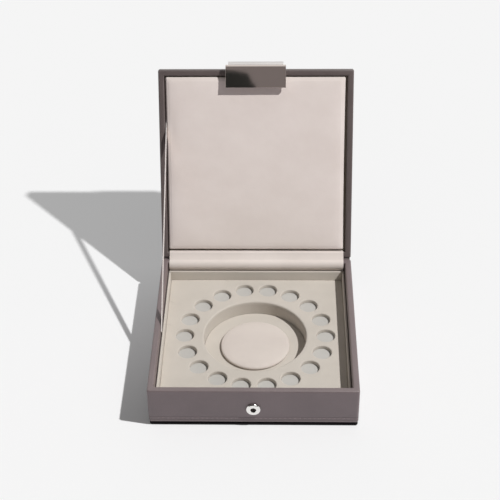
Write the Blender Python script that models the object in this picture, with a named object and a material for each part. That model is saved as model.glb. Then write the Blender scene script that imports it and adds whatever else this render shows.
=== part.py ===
"""Square leather-covered jewelry box with a hinged padded lid, shown open.

Metres, +Z up. The origin is the centre of the underside, the front is at -Y and the lid's hinge line
runs along X at the back. The lid's pieces are modelled in the closed position, in the axes of the
lid_pivot empty, which lies on the hinge line and is turned to the open position. The closing tab's
pieces hang straight down from the tab_pivot empty, which is folded in under the lid's front edge.
"""

import math

import bmesh
import bpy
from mathutils import Matrix, Vector

# Gaps between pieces that touch, and how far a cutter runs past the face it opens.
FIT_GAP = 0.0003
CUT_OVERRUN = 0.001
MERGE_DISTANCE = FIT_GAP / 100

# Outer box
BASE_WIDTH = 0.155
BASE_DEPTH = 0.154
WALL_HEIGHT = 0.033
WALL_THICKNESS = 0.005
WALL_CORNER_RADIUS = 0.002
RIM_ROUND = 0.0013
FOOT_ROUND = 0.0045
LEATHER_THICKNESS = 0.0008
LEATHER_TURN_IN = 0.012
PLINTH_HEIGHT = 0.002
PLINTH_INSET = 0.0015
PLINTH_BOSS_INSET = 0.0055
PLINTH_CORNER_RADIUS = 0.004
PLINTH_ROUND = 0.0006
FLOOR_BOARD_THICKNESS = 0.002

# Lining boards that stand inside the walls
LINING_GROOVE = 0.0011
LINING_SIDE_GROOVE = 0.0005
LINING_BOARD_THICKNESS = 0.0016
LINING_DROP = 0.0078
LINING_ROUND = 0.0004

# Tray with a ring of wells round a central pit
TRAY_DROP = 0.0165
TRAY_BOARD_THICKNESS = 0.003
WELL_COUNT = 18
WELL_RADIUS = 0.0072
WELL_EDGE_LAND = 0.0049
WELL_LIP_ROUND = 0.0009
WELL_FLOOR_THICKNESS = 0.001
TRAY_PATTERN_BACK = 0.0017
PIT_LAND = 0.008
PIT_WALL_THICKNESS = 0.0012
PIT_FLOOR_THICKNESS = 0.0007
RISER_THICKNESS = 0.003
PIT_CHANNEL_WIDTH = 0.0122
CENTRE_PAD_HEIGHT = 0.0027
CENTRE_PAD_CROWN = 0.0008
CENTRE_PAD_ROUND = 0.0011

# Snap: the socket on the front wall and the stud on the tab
SNAP_HEIGHT = 0.0172
SOCKET_RADIUS = 0.0054
SOCKET_HEIGHT = 0.0013
SOCKET_ROUND = 0.0005
SOCKET_HOLE_RADIUS = 0.002
RIVET_RADIUS = 0.0015
RIVET_CLEARANCE = 0.0003
RIVET_FLANGE_RADIUS = 0.0038
RIVET_FLANGE_THICKNESS = 0.0007
STUD_FLANGE_RADIUS = 0.0045
STUD_FLANGE_THICKNESS = 0.0005
STUD_RADIUS = 0.0017
STUD_HEIGHT = 0.0012
STUD_ROUND = 0.0004

# Lid
LID_REACH = 0.154
LID_CORNER_RADIUS = 0.0012
LID_DEPTH = 0.008
LID_RIM = 0.0048
LID_EDGE_ROUND = 0.002
LID_TURN_IN = 0.0044
LID_BOARD_THICKNESS = 0.002
LID_OPEN_ANGLE = math.radians(113)
RIM_GAP = 0.0012
PAD_CARD_THICKNESS = 0.0015
LID_PAD_SIDE_GROOVE = 0.0009
LID_PAD_FRONT_GROOVE = 0.001
LID_PAD_HINGE_GAP = 0.0012
LID_PAD_PROUD = 0.0002
LID_PAD_CROWN = 0.0004
LID_PAD_ROUND = 0.0016
LID_PAD_CORNER_RADIUS = 0.002
LID_PAD_DRAWN_IN = 0.0004

# Hinge cloth inside and hinge leather outside
HINGE_CLOTH_THICKNESS = 0.0003
HINGE_CLOTH_GAP = 0.0002
HINGE_CLOTH_END = 0.0062
HINGE_CLOTH_BASE_DROP = 0.0105
HINGE_CLOTH_LID_DROP = 0.0044
HINGE_CLOTH_ROUND = 0.001
HINGE_CLOTH_ROLL = 0.003
HINGE_CLOTH_BULGE = 0.0008
HINGE_CLOTH_CREASE = 0.0026
SPINE_THICKNESS = 0.0006
SPINE_GAP = 0.00045
SPINE_BASE_LEG = 0.012
SPINE_LID_LEG = 0.0064
SPINE_END = 0.0008

# Ribbon stay on the left side
RIBBON_WIDTH = 0.0055
RIBBON_THICKNESS = 0.0004
RIBBON_WALL_GAP = 0.0003
RIBBON_LID_REACH = 0.106
RIBBON_LID_SINK = 0.0024
RIBBON_FRONT_OF_CENTRE = 0.0068
RIBBON_RIM_DROP = 0.0046
RIBBON_LID_END = 0.004
RIBBON_BASE_TAIL = 0.001

# Closing tab: a metal cap over the end of a strap
TAB_WIDTH = 0.0475
TAB_PLATE_HEIGHT = 0.0163
TAB_SHEET_THICKNESS = 0.0008
TAB_CURL_RADIUS = 0.0016
TAB_SIDE_LIP = 0.0026
TAB_CORNER_ROUND = 0.0003
TAB_PIVOT_OUT = 0.007
TAB_PIVOT_DROP = 0.0032
TAB_FACE_OUT = 0.00146
TAB_FACE_DROP = 0.0041
TAB_FOLD_ANGLE = math.radians(84.7)
STUD_BELOW_MIDDLE = 0.003
STRAP_WIDTH = 0.0434
STRAP_THICKNESS = 0.0012
STRAP_ROOT_BACK = 0.0066
STRAP_ROOT_LENGTH = 0.0016
STRAP_CREST_OUT = 0.0065
STRAP_CREST_BACK = 0.0004
STRAP_FOOT_GAP = 0.001

# How finely round shapes are cut
ARC_STEPS = 4
CORNER_STEPS = 4
TURNED_STEPS = 32
PIT_STEPS = 64
WELL_STEPS = 24
STRAP_CURVE_STEPS = 8
PAD_SIDE_STEPS = 8
SMALL_ARC_STEPS = 3
CLOTH_ROLL_STEPS = 6

# Levels and planes that several pieces share
RIM_Z = PLINTH_HEIGHT + WALL_HEIGHT
HINGE_Y = BASE_DEPTH / 2
HINGE_Z = RIM_Z + RIM_GAP / 2
LID_RIM_Z = RIM_GAP / 2
CORE_INSET = LEATHER_THICKNESS + FIT_GAP
FLOOR_UNDER_Z = PLINTH_HEIGHT + LEATHER_THICKNESS + FIT_GAP
FLOOR_TOP_Z = FLOOR_UNDER_Z + FLOOR_BOARD_THICKNESS
ON_FLOOR_Z = FLOOR_TOP_Z + FIT_GAP
TRAY_TOP_Z = RIM_Z - TRAY_DROP
TRAY_UNDER_Z = TRAY_TOP_Z - TRAY_BOARD_THICKNESS
WELL_FLOOR_TOP_Z = TRAY_UNDER_Z - FIT_GAP
WELL_FLOOR_UNDER_Z = WELL_FLOOR_TOP_Z - WELL_FLOOR_THICKNESS
LINING_TOP_Z = RIM_Z - LINING_DROP
LINING_OUTER_X = BASE_WIDTH / 2 - WALL_THICKNESS - LINING_SIDE_GROOVE
LINING_OUTER_Y = BASE_DEPTH / 2 - WALL_THICKNESS - LINING_GROOVE
LINING_INNER_X = LINING_OUTER_X - LINING_BOARD_THICKNESS
LINING_INNER_Y = LINING_OUTER_Y - LINING_BOARD_THICKNESS
TRAY_HALF_X = LINING_INNER_X - FIT_GAP
TRAY_HALF_Y = LINING_INNER_Y - FIT_GAP
WELL_RING_RADIUS = min(TRAY_HALF_X, TRAY_HALF_Y - TRAY_PATTERN_BACK) - WELL_EDGE_LAND - WELL_RADIUS
PIT_RADIUS = WELL_RING_RADIUS - WELL_RADIUS - PIT_LAND
PIT_HOLE_RADIUS = PIT_RADIUS + PIT_WALL_THICKNESS + FIT_GAP
CENTRE_PAD_RADIUS = PIT_RADIUS - PIT_CHANNEL_WIDTH
PAD_CARD_TOP = LID_DEPTH - CORE_INSET - LID_BOARD_THICKNESS - FIT_GAP
STUD_DROP = TAB_FACE_DROP + TAB_PLATE_HEIGHT / 2 + STUD_BELOW_MIDDLE
STRAP_FRONT = -TAB_FACE_OUT + TAB_CURL_RADIUS + FIT_GAP
STRAP_BACK = STRAP_FRONT + STRAP_THICKNESS

# Colours of the finishes: red, green, blue, roughness, metallic
FINISHES = {
    "leather": (0.155, 0.128, 0.132, 0.55, 0.0),
    "card": (0.32, 0.27, 0.21, 0.9, 0.0),
    "suede": (0.62, 0.54, 0.5, 0.95, 0.0),
    "felt": (0.02, 0.02, 0.02, 0.95, 0.0),
    "ribbon": (0.66, 0.6, 0.56, 0.5, 0.0),
    "steel": (0.75, 0.74, 0.72, 0.15, 1.0),
    "strap_leather": (0.6, 0.57, 0.55, 0.4, 0.0),
}


def clear_scene():
    for obj in list(bpy.data.objects):
        bpy.data.objects.remove(obj, do_unlink=True)


def finish(name):
    """The material of one finish, made the first time that it is asked for."""
    material = bpy.data.materials.get(name)
    if material is None:
        red, green, blue, roughness, metallic = FINISHES[name]
        material = bpy.data.materials.new(name)
        material.use_nodes = True
        shader = material.node_tree.nodes["Principled BSDF"]
        shader.inputs["Base Color"].default_value = (red, green, blue, 1.0)
        shader.inputs["Roughness"].default_value = roughness
        shader.inputs["Metallic"].default_value = metallic
    return material


def pivot(name, location, angle=0.0, parent=None):
    """An empty on a joint's axis, turned about X."""
    empty = bpy.data.objects.new(name, None)
    empty.location = location
    empty.rotation_euler = (angle, 0, 0)
    empty.parent = parent
    bpy.context.scene.collection.objects.link(empty)
    return empty


def piece(name, shape, material_name, parent=None, location=(0, 0, 0)):
    """An object made from a bmesh, with its faces pointing outwards and its round stretches smooth."""
    bmesh.ops.remove_doubles(shape, verts=shape.verts, dist=MERGE_DISTANCE)
    bmesh.ops.recalc_face_normals(shape, faces=shape.faces)
    mesh = bpy.data.meshes.new(name)
    shape.to_mesh(mesh)
    shape.free()
    mesh.materials.append(finish(material_name))
    mesh.shade_smooth()
    mesh.set_sharp_from_angle(angle=math.radians(40))
    obj = bpy.data.objects.new(name, mesh)
    obj.location = location
    obj.parent = parent
    bpy.context.scene.collection.objects.link(obj)
    return obj


def guide(name, shape, target, operation, parent, location):
    """Joins a shape to a piece or cuts it away, and keeps it as a guide that isn't rendered."""
    obj = piece(name, shape, "felt", parent, location)
    obj.hide_render = True
    obj.display_type = "WIRE"
    change = target.modifiers.new(name, "BOOLEAN")
    change.operation = operation
    change.solver = "EXACT"
    change.object = obj


def cutter(name, shape, target, parent=None, location=(0, 0, 0)):
    guide(name, shape, target, "DIFFERENCE", parent, location)


def join(name, shape, target, parent=None, location=(0, 0, 0)):
    guide(name, shape, target, "UNION", parent, location)


def bevel(obj, width, segments=2):
    edge = obj.modifiers.new("soft_edges", "BEVEL")
    edge.width = width
    edge.segments = segments
    edge.limit_method = "ANGLE"
    edge.angle_limit = math.radians(50)


def arc(centre, radius, start, end, steps=ARC_STEPS):
    """Points of an arc, with the angles in degrees."""
    angles = [math.radians(start + (end - start) * i / steps) for i in range(steps + 1)]
    return [Vector((centre[0] + radius * math.cos(a), centre[1] + radius * math.sin(a))) for a in angles]


def thick_path(path, thickness):
    """The outline of a sheet: the path, and back along the path moved to its right by the thickness."""
    points = [Vector(point) for point in path]
    moved = []
    for i, point in enumerate(points):
        before = (point - points[i - 1]).normalized() if i else None
        after = (points[i + 1] - point).normalized() if i + 1 < len(points) else None
        first, second = before or after, after or before
        sideways = Vector((first.y, -first.x)) + Vector((second.y, -second.x))
        reach = thickness * 2 / sideways.length
        moved.append(point + sideways.normalized() * reach)
    return points + moved[::-1]


def box_shape(low, high):
    shape = bmesh.new()
    bmesh.ops.create_cube(shape, size=1)
    middle = (Vector(low) + Vector(high)) / 2
    size = Vector(high) - Vector(low)
    placing = Matrix.Translation(middle) @ Matrix.Diagonal((*size, 1))
    bmesh.ops.transform(shape, matrix=placing, verts=shape.verts)
    return shape


def prism_shape(outline, place, start, end):
    """An outline carried from start to end. place(along, u, v) gives the point in space."""
    shape = bmesh.new()
    first = [shape.verts.new(place(start, u, v)) for u, v in outline]
    last = [shape.verts.new(place(end, u, v)) for u, v in outline]
    shape.faces.new(first)
    shape.faces.new(last[::-1])
    for i in range(len(outline)):
        j = (i + 1) % len(outline)
        shape.faces.new((first[j], first[i], last[i], last[j]))
    bmesh.ops.triangulate(shape, faces=[face for face in shape.faces if len(face.verts) > 4])
    return shape


def along_x(along, u, v):
    return (along, u, v)


def along_y(along, u, v):
    return (u, along, v)


def along_z(along, u, v):
    return (u, v, along)


def turned_shape(profile, steps=TURNED_STEPS):
    """A solid or a ring turned about Z from a closed outline of radius and height."""
    shape = bmesh.new()
    rings = []
    for k in range(steps):
        angle = 2 * math.pi * k / steps
        rings.append([shape.verts.new((r * math.cos(angle), r * math.sin(angle), z)) for r, z in profile])
    for k in range(steps):
        here, there = rings[k], rings[(k + 1) % steps]
        for i in range(len(profile)):
            j = (i + 1) % len(profile)
            if profile[i][0] or profile[j][0]:
                shape.faces.new((here[i], here[j], there[j], there[i]))
    bmesh.ops.remove_doubles(shape, verts=shape.verts, dist=MERGE_DISTANCE)
    return shape


def facing_front(shape):
    """Turns a shape that was made about Z so that its top looks to the front, -Y."""
    turn = Matrix.Rotation(math.radians(90), 3, "X")
    bmesh.ops.rotate(shape, cent=(0, 0, 0), matrix=turn, verts=shape.verts)
    return shape


def facing_back(shape):
    """Turns a shape that was made about Z so that its top looks to the back, +Y."""
    turn = Matrix.Rotation(math.radians(-90), 3, "X")
    bmesh.ops.rotate(shape, cent=(0, 0, 0), matrix=turn, verts=shape.verts)
    return shape


def rectangle_ring(half_x, half_y, inset, corner):
    """Points round a rectangle with rounded corners, moved in by inset.

    An inset past the corner radius gives sharp corners.
    """
    radius = max(corner - inset, 0.0)
    reach_x, reach_y = half_x - max(corner, inset), half_y - max(corner, inset)
    points = []
    for turn, (sign_x, sign_y) in enumerate(((1, 1), (-1, 1), (-1, -1), (1, -1))):
        points += arc((sign_x * reach_x, sign_y * reach_y), radius, 90 * turn, 90 * turn + 90, CORNER_STEPS)
    return points


def frame_shape(profile, half_x, half_y, corner, closed=True):
    """A profile of inset and height carried round a rectangle. An open profile has its ends filled."""
    shape = bmesh.new()
    rings = []
    for inset, height in profile:
        ring = rectangle_ring(half_x, half_y, inset, corner)
        rings.append([shape.verts.new((x, y, height)) for x, y in ring])
    count = len(rings[0])
    for i in range(len(rings) if closed else len(rings) - 1):
        here, there = rings[i], rings[(i + 1) % len(rings)]
        for k in range(count):
            n = (k + 1) % count
            shape.faces.new((here[k], here[n], there[n], there[k]))
    if not closed:
        shape.faces.new(rings[0])
        shape.faces.new(rings[-1][::-1])
    return shape


def cushion_shape(half_x, half_y, low, high, crown, edge_round, corner, drawn_in):
    """A padded panel: a flat back, sides drawn in between the corners, rolled edges and a low crown."""
    inner_shares = (0.75, 0.5, 0.25)
    levels = [(edge_round / 2, low), (0.0, low + edge_round / 2)]
    for point in arc((edge_round, high - crown - edge_round), edge_round, 180, 90, CORNER_STEPS):
        levels.append((point.x, point.y))
    reach = min(half_x, half_y)
    for share in inner_shares:
        inset = reach - (reach - edge_round) * share
        levels.append((inset, high - crown * share**2))
    shape = bmesh.new()
    rings = []
    for inset, height in levels:
        ring = []
        outline = rectangle_ring(half_x, half_y, min(inset, reach), corner)
        for k, point in enumerate(outline):
            ring.append(point)
            if k % (CORNER_STEPS + 1) == CORNER_STEPS:
                after = outline[(k + 1) % len(outline)]
                for step in range(1, PAD_SIDE_STEPS):
                    ring.append(point.lerp(after, step / PAD_SIDE_STEPS))
        verts = []
        for point in ring:
            along_x_share = min(abs(point.x) / half_x, 1.0)
            along_y_share = min(abs(point.y) / half_y, 1.0)
            pulled_x = math.copysign(drawn_in * (1 - along_y_share**2) * along_x_share, point.x)
            pulled_y = math.copysign(drawn_in * (1 - along_x_share**2) * along_y_share, point.y)
            verts.append(shape.verts.new((point.x - pulled_x, point.y - pulled_y, height)))
        rings.append(verts)
    count = len(rings[0])
    for here, there in zip(rings, rings[1:]):
        for k in range(count):
            n = (k + 1) % count
            shape.faces.new((here[k], here[n], there[n], there[k]))
    shape.faces.new(rings[0][::-1])
    shape.faces.new(rings[-1])
    return shape


def base_leather_path():
    """From the inner end under the wall, round the foot, up the outside, over the rim and down inside."""
    foot = arc((FOOT_ROUND, PLINTH_HEIGHT + FOOT_ROUND), FOOT_ROUND, 270, 180)
    outer_rim = arc((RIM_ROUND, RIM_Z - RIM_ROUND), RIM_ROUND, 180, 90)
    inner_rim = arc((WALL_THICKNESS - RIM_ROUND, RIM_Z - RIM_ROUND), RIM_ROUND, 90, 0)
    start = [(WALL_THICKNESS, PLINTH_HEIGHT)]
    end = [(WALL_THICKNESS, RIM_Z - LEATHER_TURN_IN)]
    return start + foot + outer_rim + inner_rim + end


def build_base():
    half_x, half_y = BASE_WIDTH / 2, BASE_DEPTH / 2
    step = PLINTH_BOSS_INSET - PLINTH_INSET
    step_z = PLINTH_HEIGHT - FIT_GAP
    profile = [(PLINTH_ROUND, 0), (0, PLINTH_ROUND), (0, step_z), (step, step_z)]
    profile.append((step, PLINTH_HEIGHT + LEATHER_THICKNESS))
    reach_x, reach_y = half_x - PLINTH_INSET, half_y - PLINTH_INSET
    piece("plinth_pad", frame_shape(profile, reach_x, reach_y, PLINTH_CORNER_RADIUS, closed=False), "felt")

    leather = piece(
        "base_leather",
        frame_shape(thick_path(base_leather_path(), LEATHER_THICKNESS), half_x, half_y, WALL_CORNER_RADIUS),
        "leather",
    )
    core_inner = WALL_THICKNESS - CORE_INSET
    foot_centre = (FOOT_ROUND, PLINTH_HEIGHT + FOOT_ROUND)
    foot = arc(foot_centre, FOOT_ROUND - CORE_INSET, 250, 180)
    core_top = RIM_Z - CORE_INSET
    outline = [(core_inner, foot[0].y), *foot, (CORE_INSET, core_top), (core_inner, core_top)]
    board_reach = half_x - FOOT_ROUND
    side_reach = half_y - core_inner - FIT_GAP

    def front_place(along, inset, height):
        return (along, -half_y + inset, height)

    def rear_place(along, inset, height):
        return (along, half_y - inset, height)

    def left_place(along, inset, height):
        return (-half_x + inset, along, height)

    def right_place(along, inset, height):
        return (half_x - inset, along, height)

    front = piece("wall_board_front", prism_shape(outline, front_place, -board_reach, board_reach), "card")
    piece("wall_board_rear", prism_shape(outline, rear_place, -board_reach, board_reach), "card")
    piece("wall_board_left", prism_shape(outline, left_place, -side_reach, side_reach), "card")
    piece("wall_board_right", prism_shape(outline, right_place, -side_reach, side_reach), "card")

    floor_inset = core_inner + FIT_GAP
    piece(
        "floor_board",
        box_shape(
            (-half_x + floor_inset, -half_y + floor_inset, FLOOR_UNDER_Z),
            (half_x - floor_inset, half_y - floor_inset, FLOOR_TOP_Z),
        ),
        "card",
    )

    hole = arc((0, 0), RIVET_RADIUS + RIVET_CLEARANCE, 0, 360, TURNED_STEPS)[:-1]
    for target in (leather, front):
        cutter(
            f"rivet_hole_{target.name}",
            prism_shape(hole, along_y, -CUT_OVERRUN, WALL_THICKNESS),
            target,
            location=(0, -half_y, SNAP_HEIGHT),
        )


def build_lining_boards():
    outer_x, outer_y = LINING_OUTER_X, LINING_OUTER_Y
    inner_x, inner_y = LINING_INNER_X, LINING_INNER_Y
    boards = {
        "lining_board_front": ((-outer_x, -outer_y), (outer_x, -inner_y)),
        "lining_board_rear": ((-outer_x, inner_y), (outer_x, outer_y)),
        "lining_board_left": ((-outer_x, -TRAY_HALF_Y), (-inner_x, TRAY_HALF_Y)),
        "lining_board_right": ((inner_x, -TRAY_HALF_Y), (outer_x, TRAY_HALF_Y)),
    }
    for name, (low, high) in boards.items():
        board = piece(name, box_shape((*low, ON_FLOOR_Z), (*high, LINING_TOP_Z)), "suede")
        bevel(board, LINING_ROUND)


def well_cutter_shape():
    """Round wells with rolled lips, one turned cutter each."""
    shape = bmesh.new()
    lip_centre = (WELL_RADIUS + WELL_LIP_ROUND, TRAY_TOP_Z - WELL_LIP_ROUND)
    lip = arc(lip_centre, WELL_LIP_ROUND, 180, 90, SMALL_ARC_STEPS)
    profile = [(0, TRAY_UNDER_Z - CUT_OVERRUN), (WELL_RADIUS, TRAY_UNDER_Z - CUT_OVERRUN)]
    profile += [tuple(point) for point in lip]
    profile += [(WELL_RADIUS + WELL_LIP_ROUND, TRAY_TOP_Z + CUT_OVERRUN), (0, TRAY_TOP_Z + CUT_OVERRUN)]
    for k in range(WELL_COUNT):
        angle = 2 * math.pi * k / WELL_COUNT
        well = turned_shape(profile, WELL_STEPS)
        offset = Vector((math.cos(angle), math.sin(angle), 0)) * WELL_RING_RADIUS
        bmesh.ops.translate(well, vec=offset, verts=well.verts)
        mesh = bpy.data.meshes.new("well")
        well.to_mesh(mesh)
        well.free()
        shape.from_mesh(mesh)
        bpy.data.meshes.remove(mesh)
    return shape


def build_tray():
    half_x, half_y = TRAY_HALF_X, TRAY_HALF_Y
    centre = (0, TRAY_PATTERN_BACK, 0)
    pit_hole = arc((0, 0), PIT_HOLE_RADIUS, 0, 360, PIT_STEPS)[:-1]

    board = box_shape((-half_x, -half_y, TRAY_UNDER_Z), (half_x, half_y, TRAY_TOP_Z))
    tray = piece("tray_board", board, "suede")
    cutter("tray_wells", well_cutter_shape(), tray, location=centre)
    low, high = TRAY_UNDER_Z - CUT_OVERRUN, TRAY_TOP_Z + CUT_OVERRUN
    cutter("tray_pit", prism_shape(pit_hole, along_z, low, high), tray, location=centre)

    well_floor = piece(
        "well_floor",
        box_shape((-half_x, -half_y, WELL_FLOOR_UNDER_Z), (half_x, half_y, WELL_FLOOR_TOP_Z)),
        "suede",
    )
    low, high = WELL_FLOOR_UNDER_Z - CUT_OVERRUN, WELL_FLOOR_TOP_Z + CUT_OVERRUN
    cutter("well_floor_pit", prism_shape(pit_hole, along_z, low, high), well_floor, location=centre)

    outer = PIT_RADIUS + PIT_WALL_THICKNESS
    profile = [(PIT_RADIUS, ON_FLOOR_Z), (outer, ON_FLOOR_Z), (outer, TRAY_TOP_Z), (PIT_RADIUS, TRAY_TOP_Z)]
    piece("pit_wall", turned_shape(profile, PIT_STEPS), "suede", location=centre)

    floor_high = ON_FLOOR_Z + PIT_FLOOR_THICKNESS
    floor_radius = PIT_RADIUS - FIT_GAP
    profile = [(0, ON_FLOOR_Z), (floor_radius, ON_FLOOR_Z), (floor_radius, floor_high), (0, floor_high)]
    piece("pit_floor", turned_shape(profile, PIT_STEPS), "suede", location=centre)

    pad_low = floor_high + FIT_GAP
    shoulder = pad_low + CENTRE_PAD_HEIGHT
    drawn = CENTRE_PAD_RADIUS - CENTRE_PAD_ROUND
    side = arc((drawn, shoulder - CENTRE_PAD_ROUND), CENTRE_PAD_ROUND, -60, 75, 5)
    crown_shares = (0.85, 0.6, 0.3)
    crown = [(drawn * share, shoulder + CENTRE_PAD_CROWN * (1 - share**2)) for share in crown_shares]
    profile = [(0, pad_low), (drawn - CENTRE_PAD_ROUND / 2, pad_low)]
    profile += [tuple(point) for point in side] + crown + [(0, shoulder + CENTRE_PAD_CROWN)]
    piece("centre_pad", turned_shape(profile, PIT_STEPS), "suede", location=centre)

    riser_top = WELL_FLOOR_UNDER_Z - FIT_GAP
    inner_x, inner_y = half_x - RISER_THICKNESS, half_y - RISER_THICKNESS
    side_reach = inner_y - FIT_GAP
    risers = {
        "tray_riser_front": ((-half_x, -half_y), (half_x, -inner_y)),
        "tray_riser_rear": ((-half_x, inner_y), (half_x, half_y)),
        "tray_riser_left": ((-half_x, -side_reach), (-inner_x, side_reach)),
        "tray_riser_right": ((inner_x, -side_reach), (half_x, side_reach)),
    }
    for name, (low, high) in risers.items():
        piece(name, box_shape((*low, ON_FLOOR_Z), (*high, riser_top)), "card")


def build_snap_socket():
    front = -BASE_DEPTH / 2
    round_centre = (SOCKET_RADIUS - SOCKET_ROUND, SOCKET_HEIGHT - SOCKET_ROUND)
    inner_centre = (SOCKET_HOLE_RADIUS + SOCKET_ROUND, SOCKET_HEIGHT - SOCKET_ROUND)
    profile = [(SOCKET_HOLE_RADIUS, 0), (SOCKET_RADIUS, 0)]
    profile += [tuple(point) for point in arc(round_centre, SOCKET_ROUND, 0, 90, SMALL_ARC_STEPS)]
    profile += [tuple(point) for point in arc(inner_centre, SOCKET_ROUND, 90, 180, SMALL_ARC_STEPS)]
    socket = facing_front(turned_shape(profile))
    piece("snap_socket", socket, "steel", location=(0, front - FIT_GAP, SNAP_HEIGHT))

    flange_back = WALL_THICKNESS - CORE_INSET + FIT_GAP
    profile = [
        (0, FIT_GAP),
        (RIVET_RADIUS, FIT_GAP),
        (RIVET_RADIUS, -flange_back),
        (RIVET_FLANGE_RADIUS, -flange_back),
        (RIVET_FLANGE_RADIUS, -flange_back - RIVET_FLANGE_THICKNESS),
        (0, -flange_back - RIVET_FLANGE_THICKNESS),
    ]
    piece("socket_rivet", facing_front(turned_shape(profile)), "steel", location=(0, front, SNAP_HEIGHT))


def lid_leather_path():
    """From the outer face, over the outer edge, down the side, round the rim and up inside."""
    top = LID_RIM_Z + LID_DEPTH
    edge = arc((LID_EDGE_ROUND, top - LID_EDGE_ROUND), LID_EDGE_ROUND, 90, 180)
    outer_rim = arc((RIM_ROUND, LID_RIM_Z + RIM_ROUND), RIM_ROUND, 180, 270)
    inner_rim = arc((LID_RIM - RIM_ROUND, LID_RIM_Z + RIM_ROUND), RIM_ROUND, 270, 360)
    start = [(2 * LID_EDGE_ROUND, top)]
    end = [(LID_RIM, LID_RIM_Z + LID_TURN_IN)]
    return start + edge + outer_rim + inner_rim + end


def build_lid(lid_pivot):
    half_x, half_y = BASE_WIDTH / 2, LID_REACH / 2
    middle = (0, -half_y, 0)
    path = [Vector(point) for point in lid_leather_path()]
    outline = thick_path([(-x, y) for x, y in path], LEATHER_THICKNESS)
    profile = [(-x, y) for x, y in outline]
    piece(
        "lid_leather",
        frame_shape(profile, half_x, half_y, LID_CORNER_RADIUS, closed=False),
        "leather",
        lid_pivot,
        middle,
    )

    board_high = LID_RIM_Z + LID_DEPTH - CORE_INSET
    board_low = board_high - LID_BOARD_THICKNESS
    piece(
        "lid_top_board",
        box_shape(
            (-half_x + LID_EDGE_ROUND, -half_y + LID_EDGE_ROUND, board_low),
            (half_x - LID_EDGE_ROUND, half_y - LID_EDGE_ROUND, board_high),
        ),
        "card",
        lid_pivot,
        middle,
    )

    strip_low, strip_high = LID_RIM_Z + CORE_INSET, board_low - FIT_GAP
    strip_inner = LID_RIM - CORE_INSET
    reach_x = half_x - CORE_INSET - LID_CORNER_RADIUS
    outer_y, inner_y = half_y - CORE_INSET, half_y - strip_inner
    side_reach = inner_y - FIT_GAP
    outer_x, inner_x = half_x - CORE_INSET, half_x - strip_inner
    strips = {
        "lid_strip_front": ((-reach_x, -outer_y), (reach_x, -inner_y)),
        "lid_strip_rear": ((-reach_x, inner_y), (reach_x, outer_y)),
        "lid_strip_left": ((-outer_x, -side_reach), (-inner_x, side_reach)),
        "lid_strip_right": ((inner_x, -side_reach), (outer_x, side_reach)),
    }
    for name, (low, high) in strips.items():
        piece(name, box_shape((*low, strip_low), (*high, strip_high)), "card", lid_pivot, middle)

    pad_half_x = half_x - LID_RIM - LID_PAD_SIDE_GROOVE
    pad_front = -LID_REACH + LID_RIM + LID_PAD_FRONT_GROOVE
    pad_rear = -LID_RIM - LID_PAD_HINGE_GAP
    pad_half_y = (pad_rear - pad_front) / 2
    pad_middle = (0, (pad_rear + pad_front) / 2, 0)
    card_high = LID_RIM_Z + PAD_CARD_TOP
    card_low = card_high - PAD_CARD_THICKNESS
    card_x, card_y = pad_half_x - LID_PAD_ROUND, pad_half_y - LID_PAD_ROUND
    piece(
        "lid_pad_card",
        box_shape((-card_x, -card_y, card_low), (card_x, card_y, card_high)),
        "card",
        lid_pivot,
        pad_middle,
    )
    thickness = card_low - FIT_GAP - (LID_RIM_Z - LID_PAD_PROUD)
    pad = cushion_shape(
        pad_half_x,
        pad_half_y,
        0,
        thickness,
        LID_PAD_CROWN,
        LID_PAD_ROUND,
        LID_PAD_CORNER_RADIUS,
        LID_PAD_DRAWN_IN,
    )
    bmesh.ops.rotate(pad, cent=(0, 0, 0), matrix=Matrix.Rotation(math.pi, 3, "X"), verts=pad.verts)
    bmesh.ops.translate(pad, vec=(0, 0, card_low - FIT_GAP), verts=pad.verts)
    piece("lid_pad", pad, "suede", lid_pivot, pad_middle)


def opened(y, z):
    """A point of the closed lid, in the lid's axes, taken to where it lies with the lid open."""
    turned = Matrix.Rotation(-LID_OPEN_ANGLE, 2) @ Vector((y, z))
    return Vector((HINGE_Y, HINGE_Z)) + turned


def meet(first, first_along, second, second_along):
    """Where two straight lines cross."""
    across = first_along.x * second_along.y - first_along.y * second_along.x
    between = second - first
    reach = (between.x * second_along.y - between.y * second_along.x) / across
    return first + first_along * reach


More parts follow.
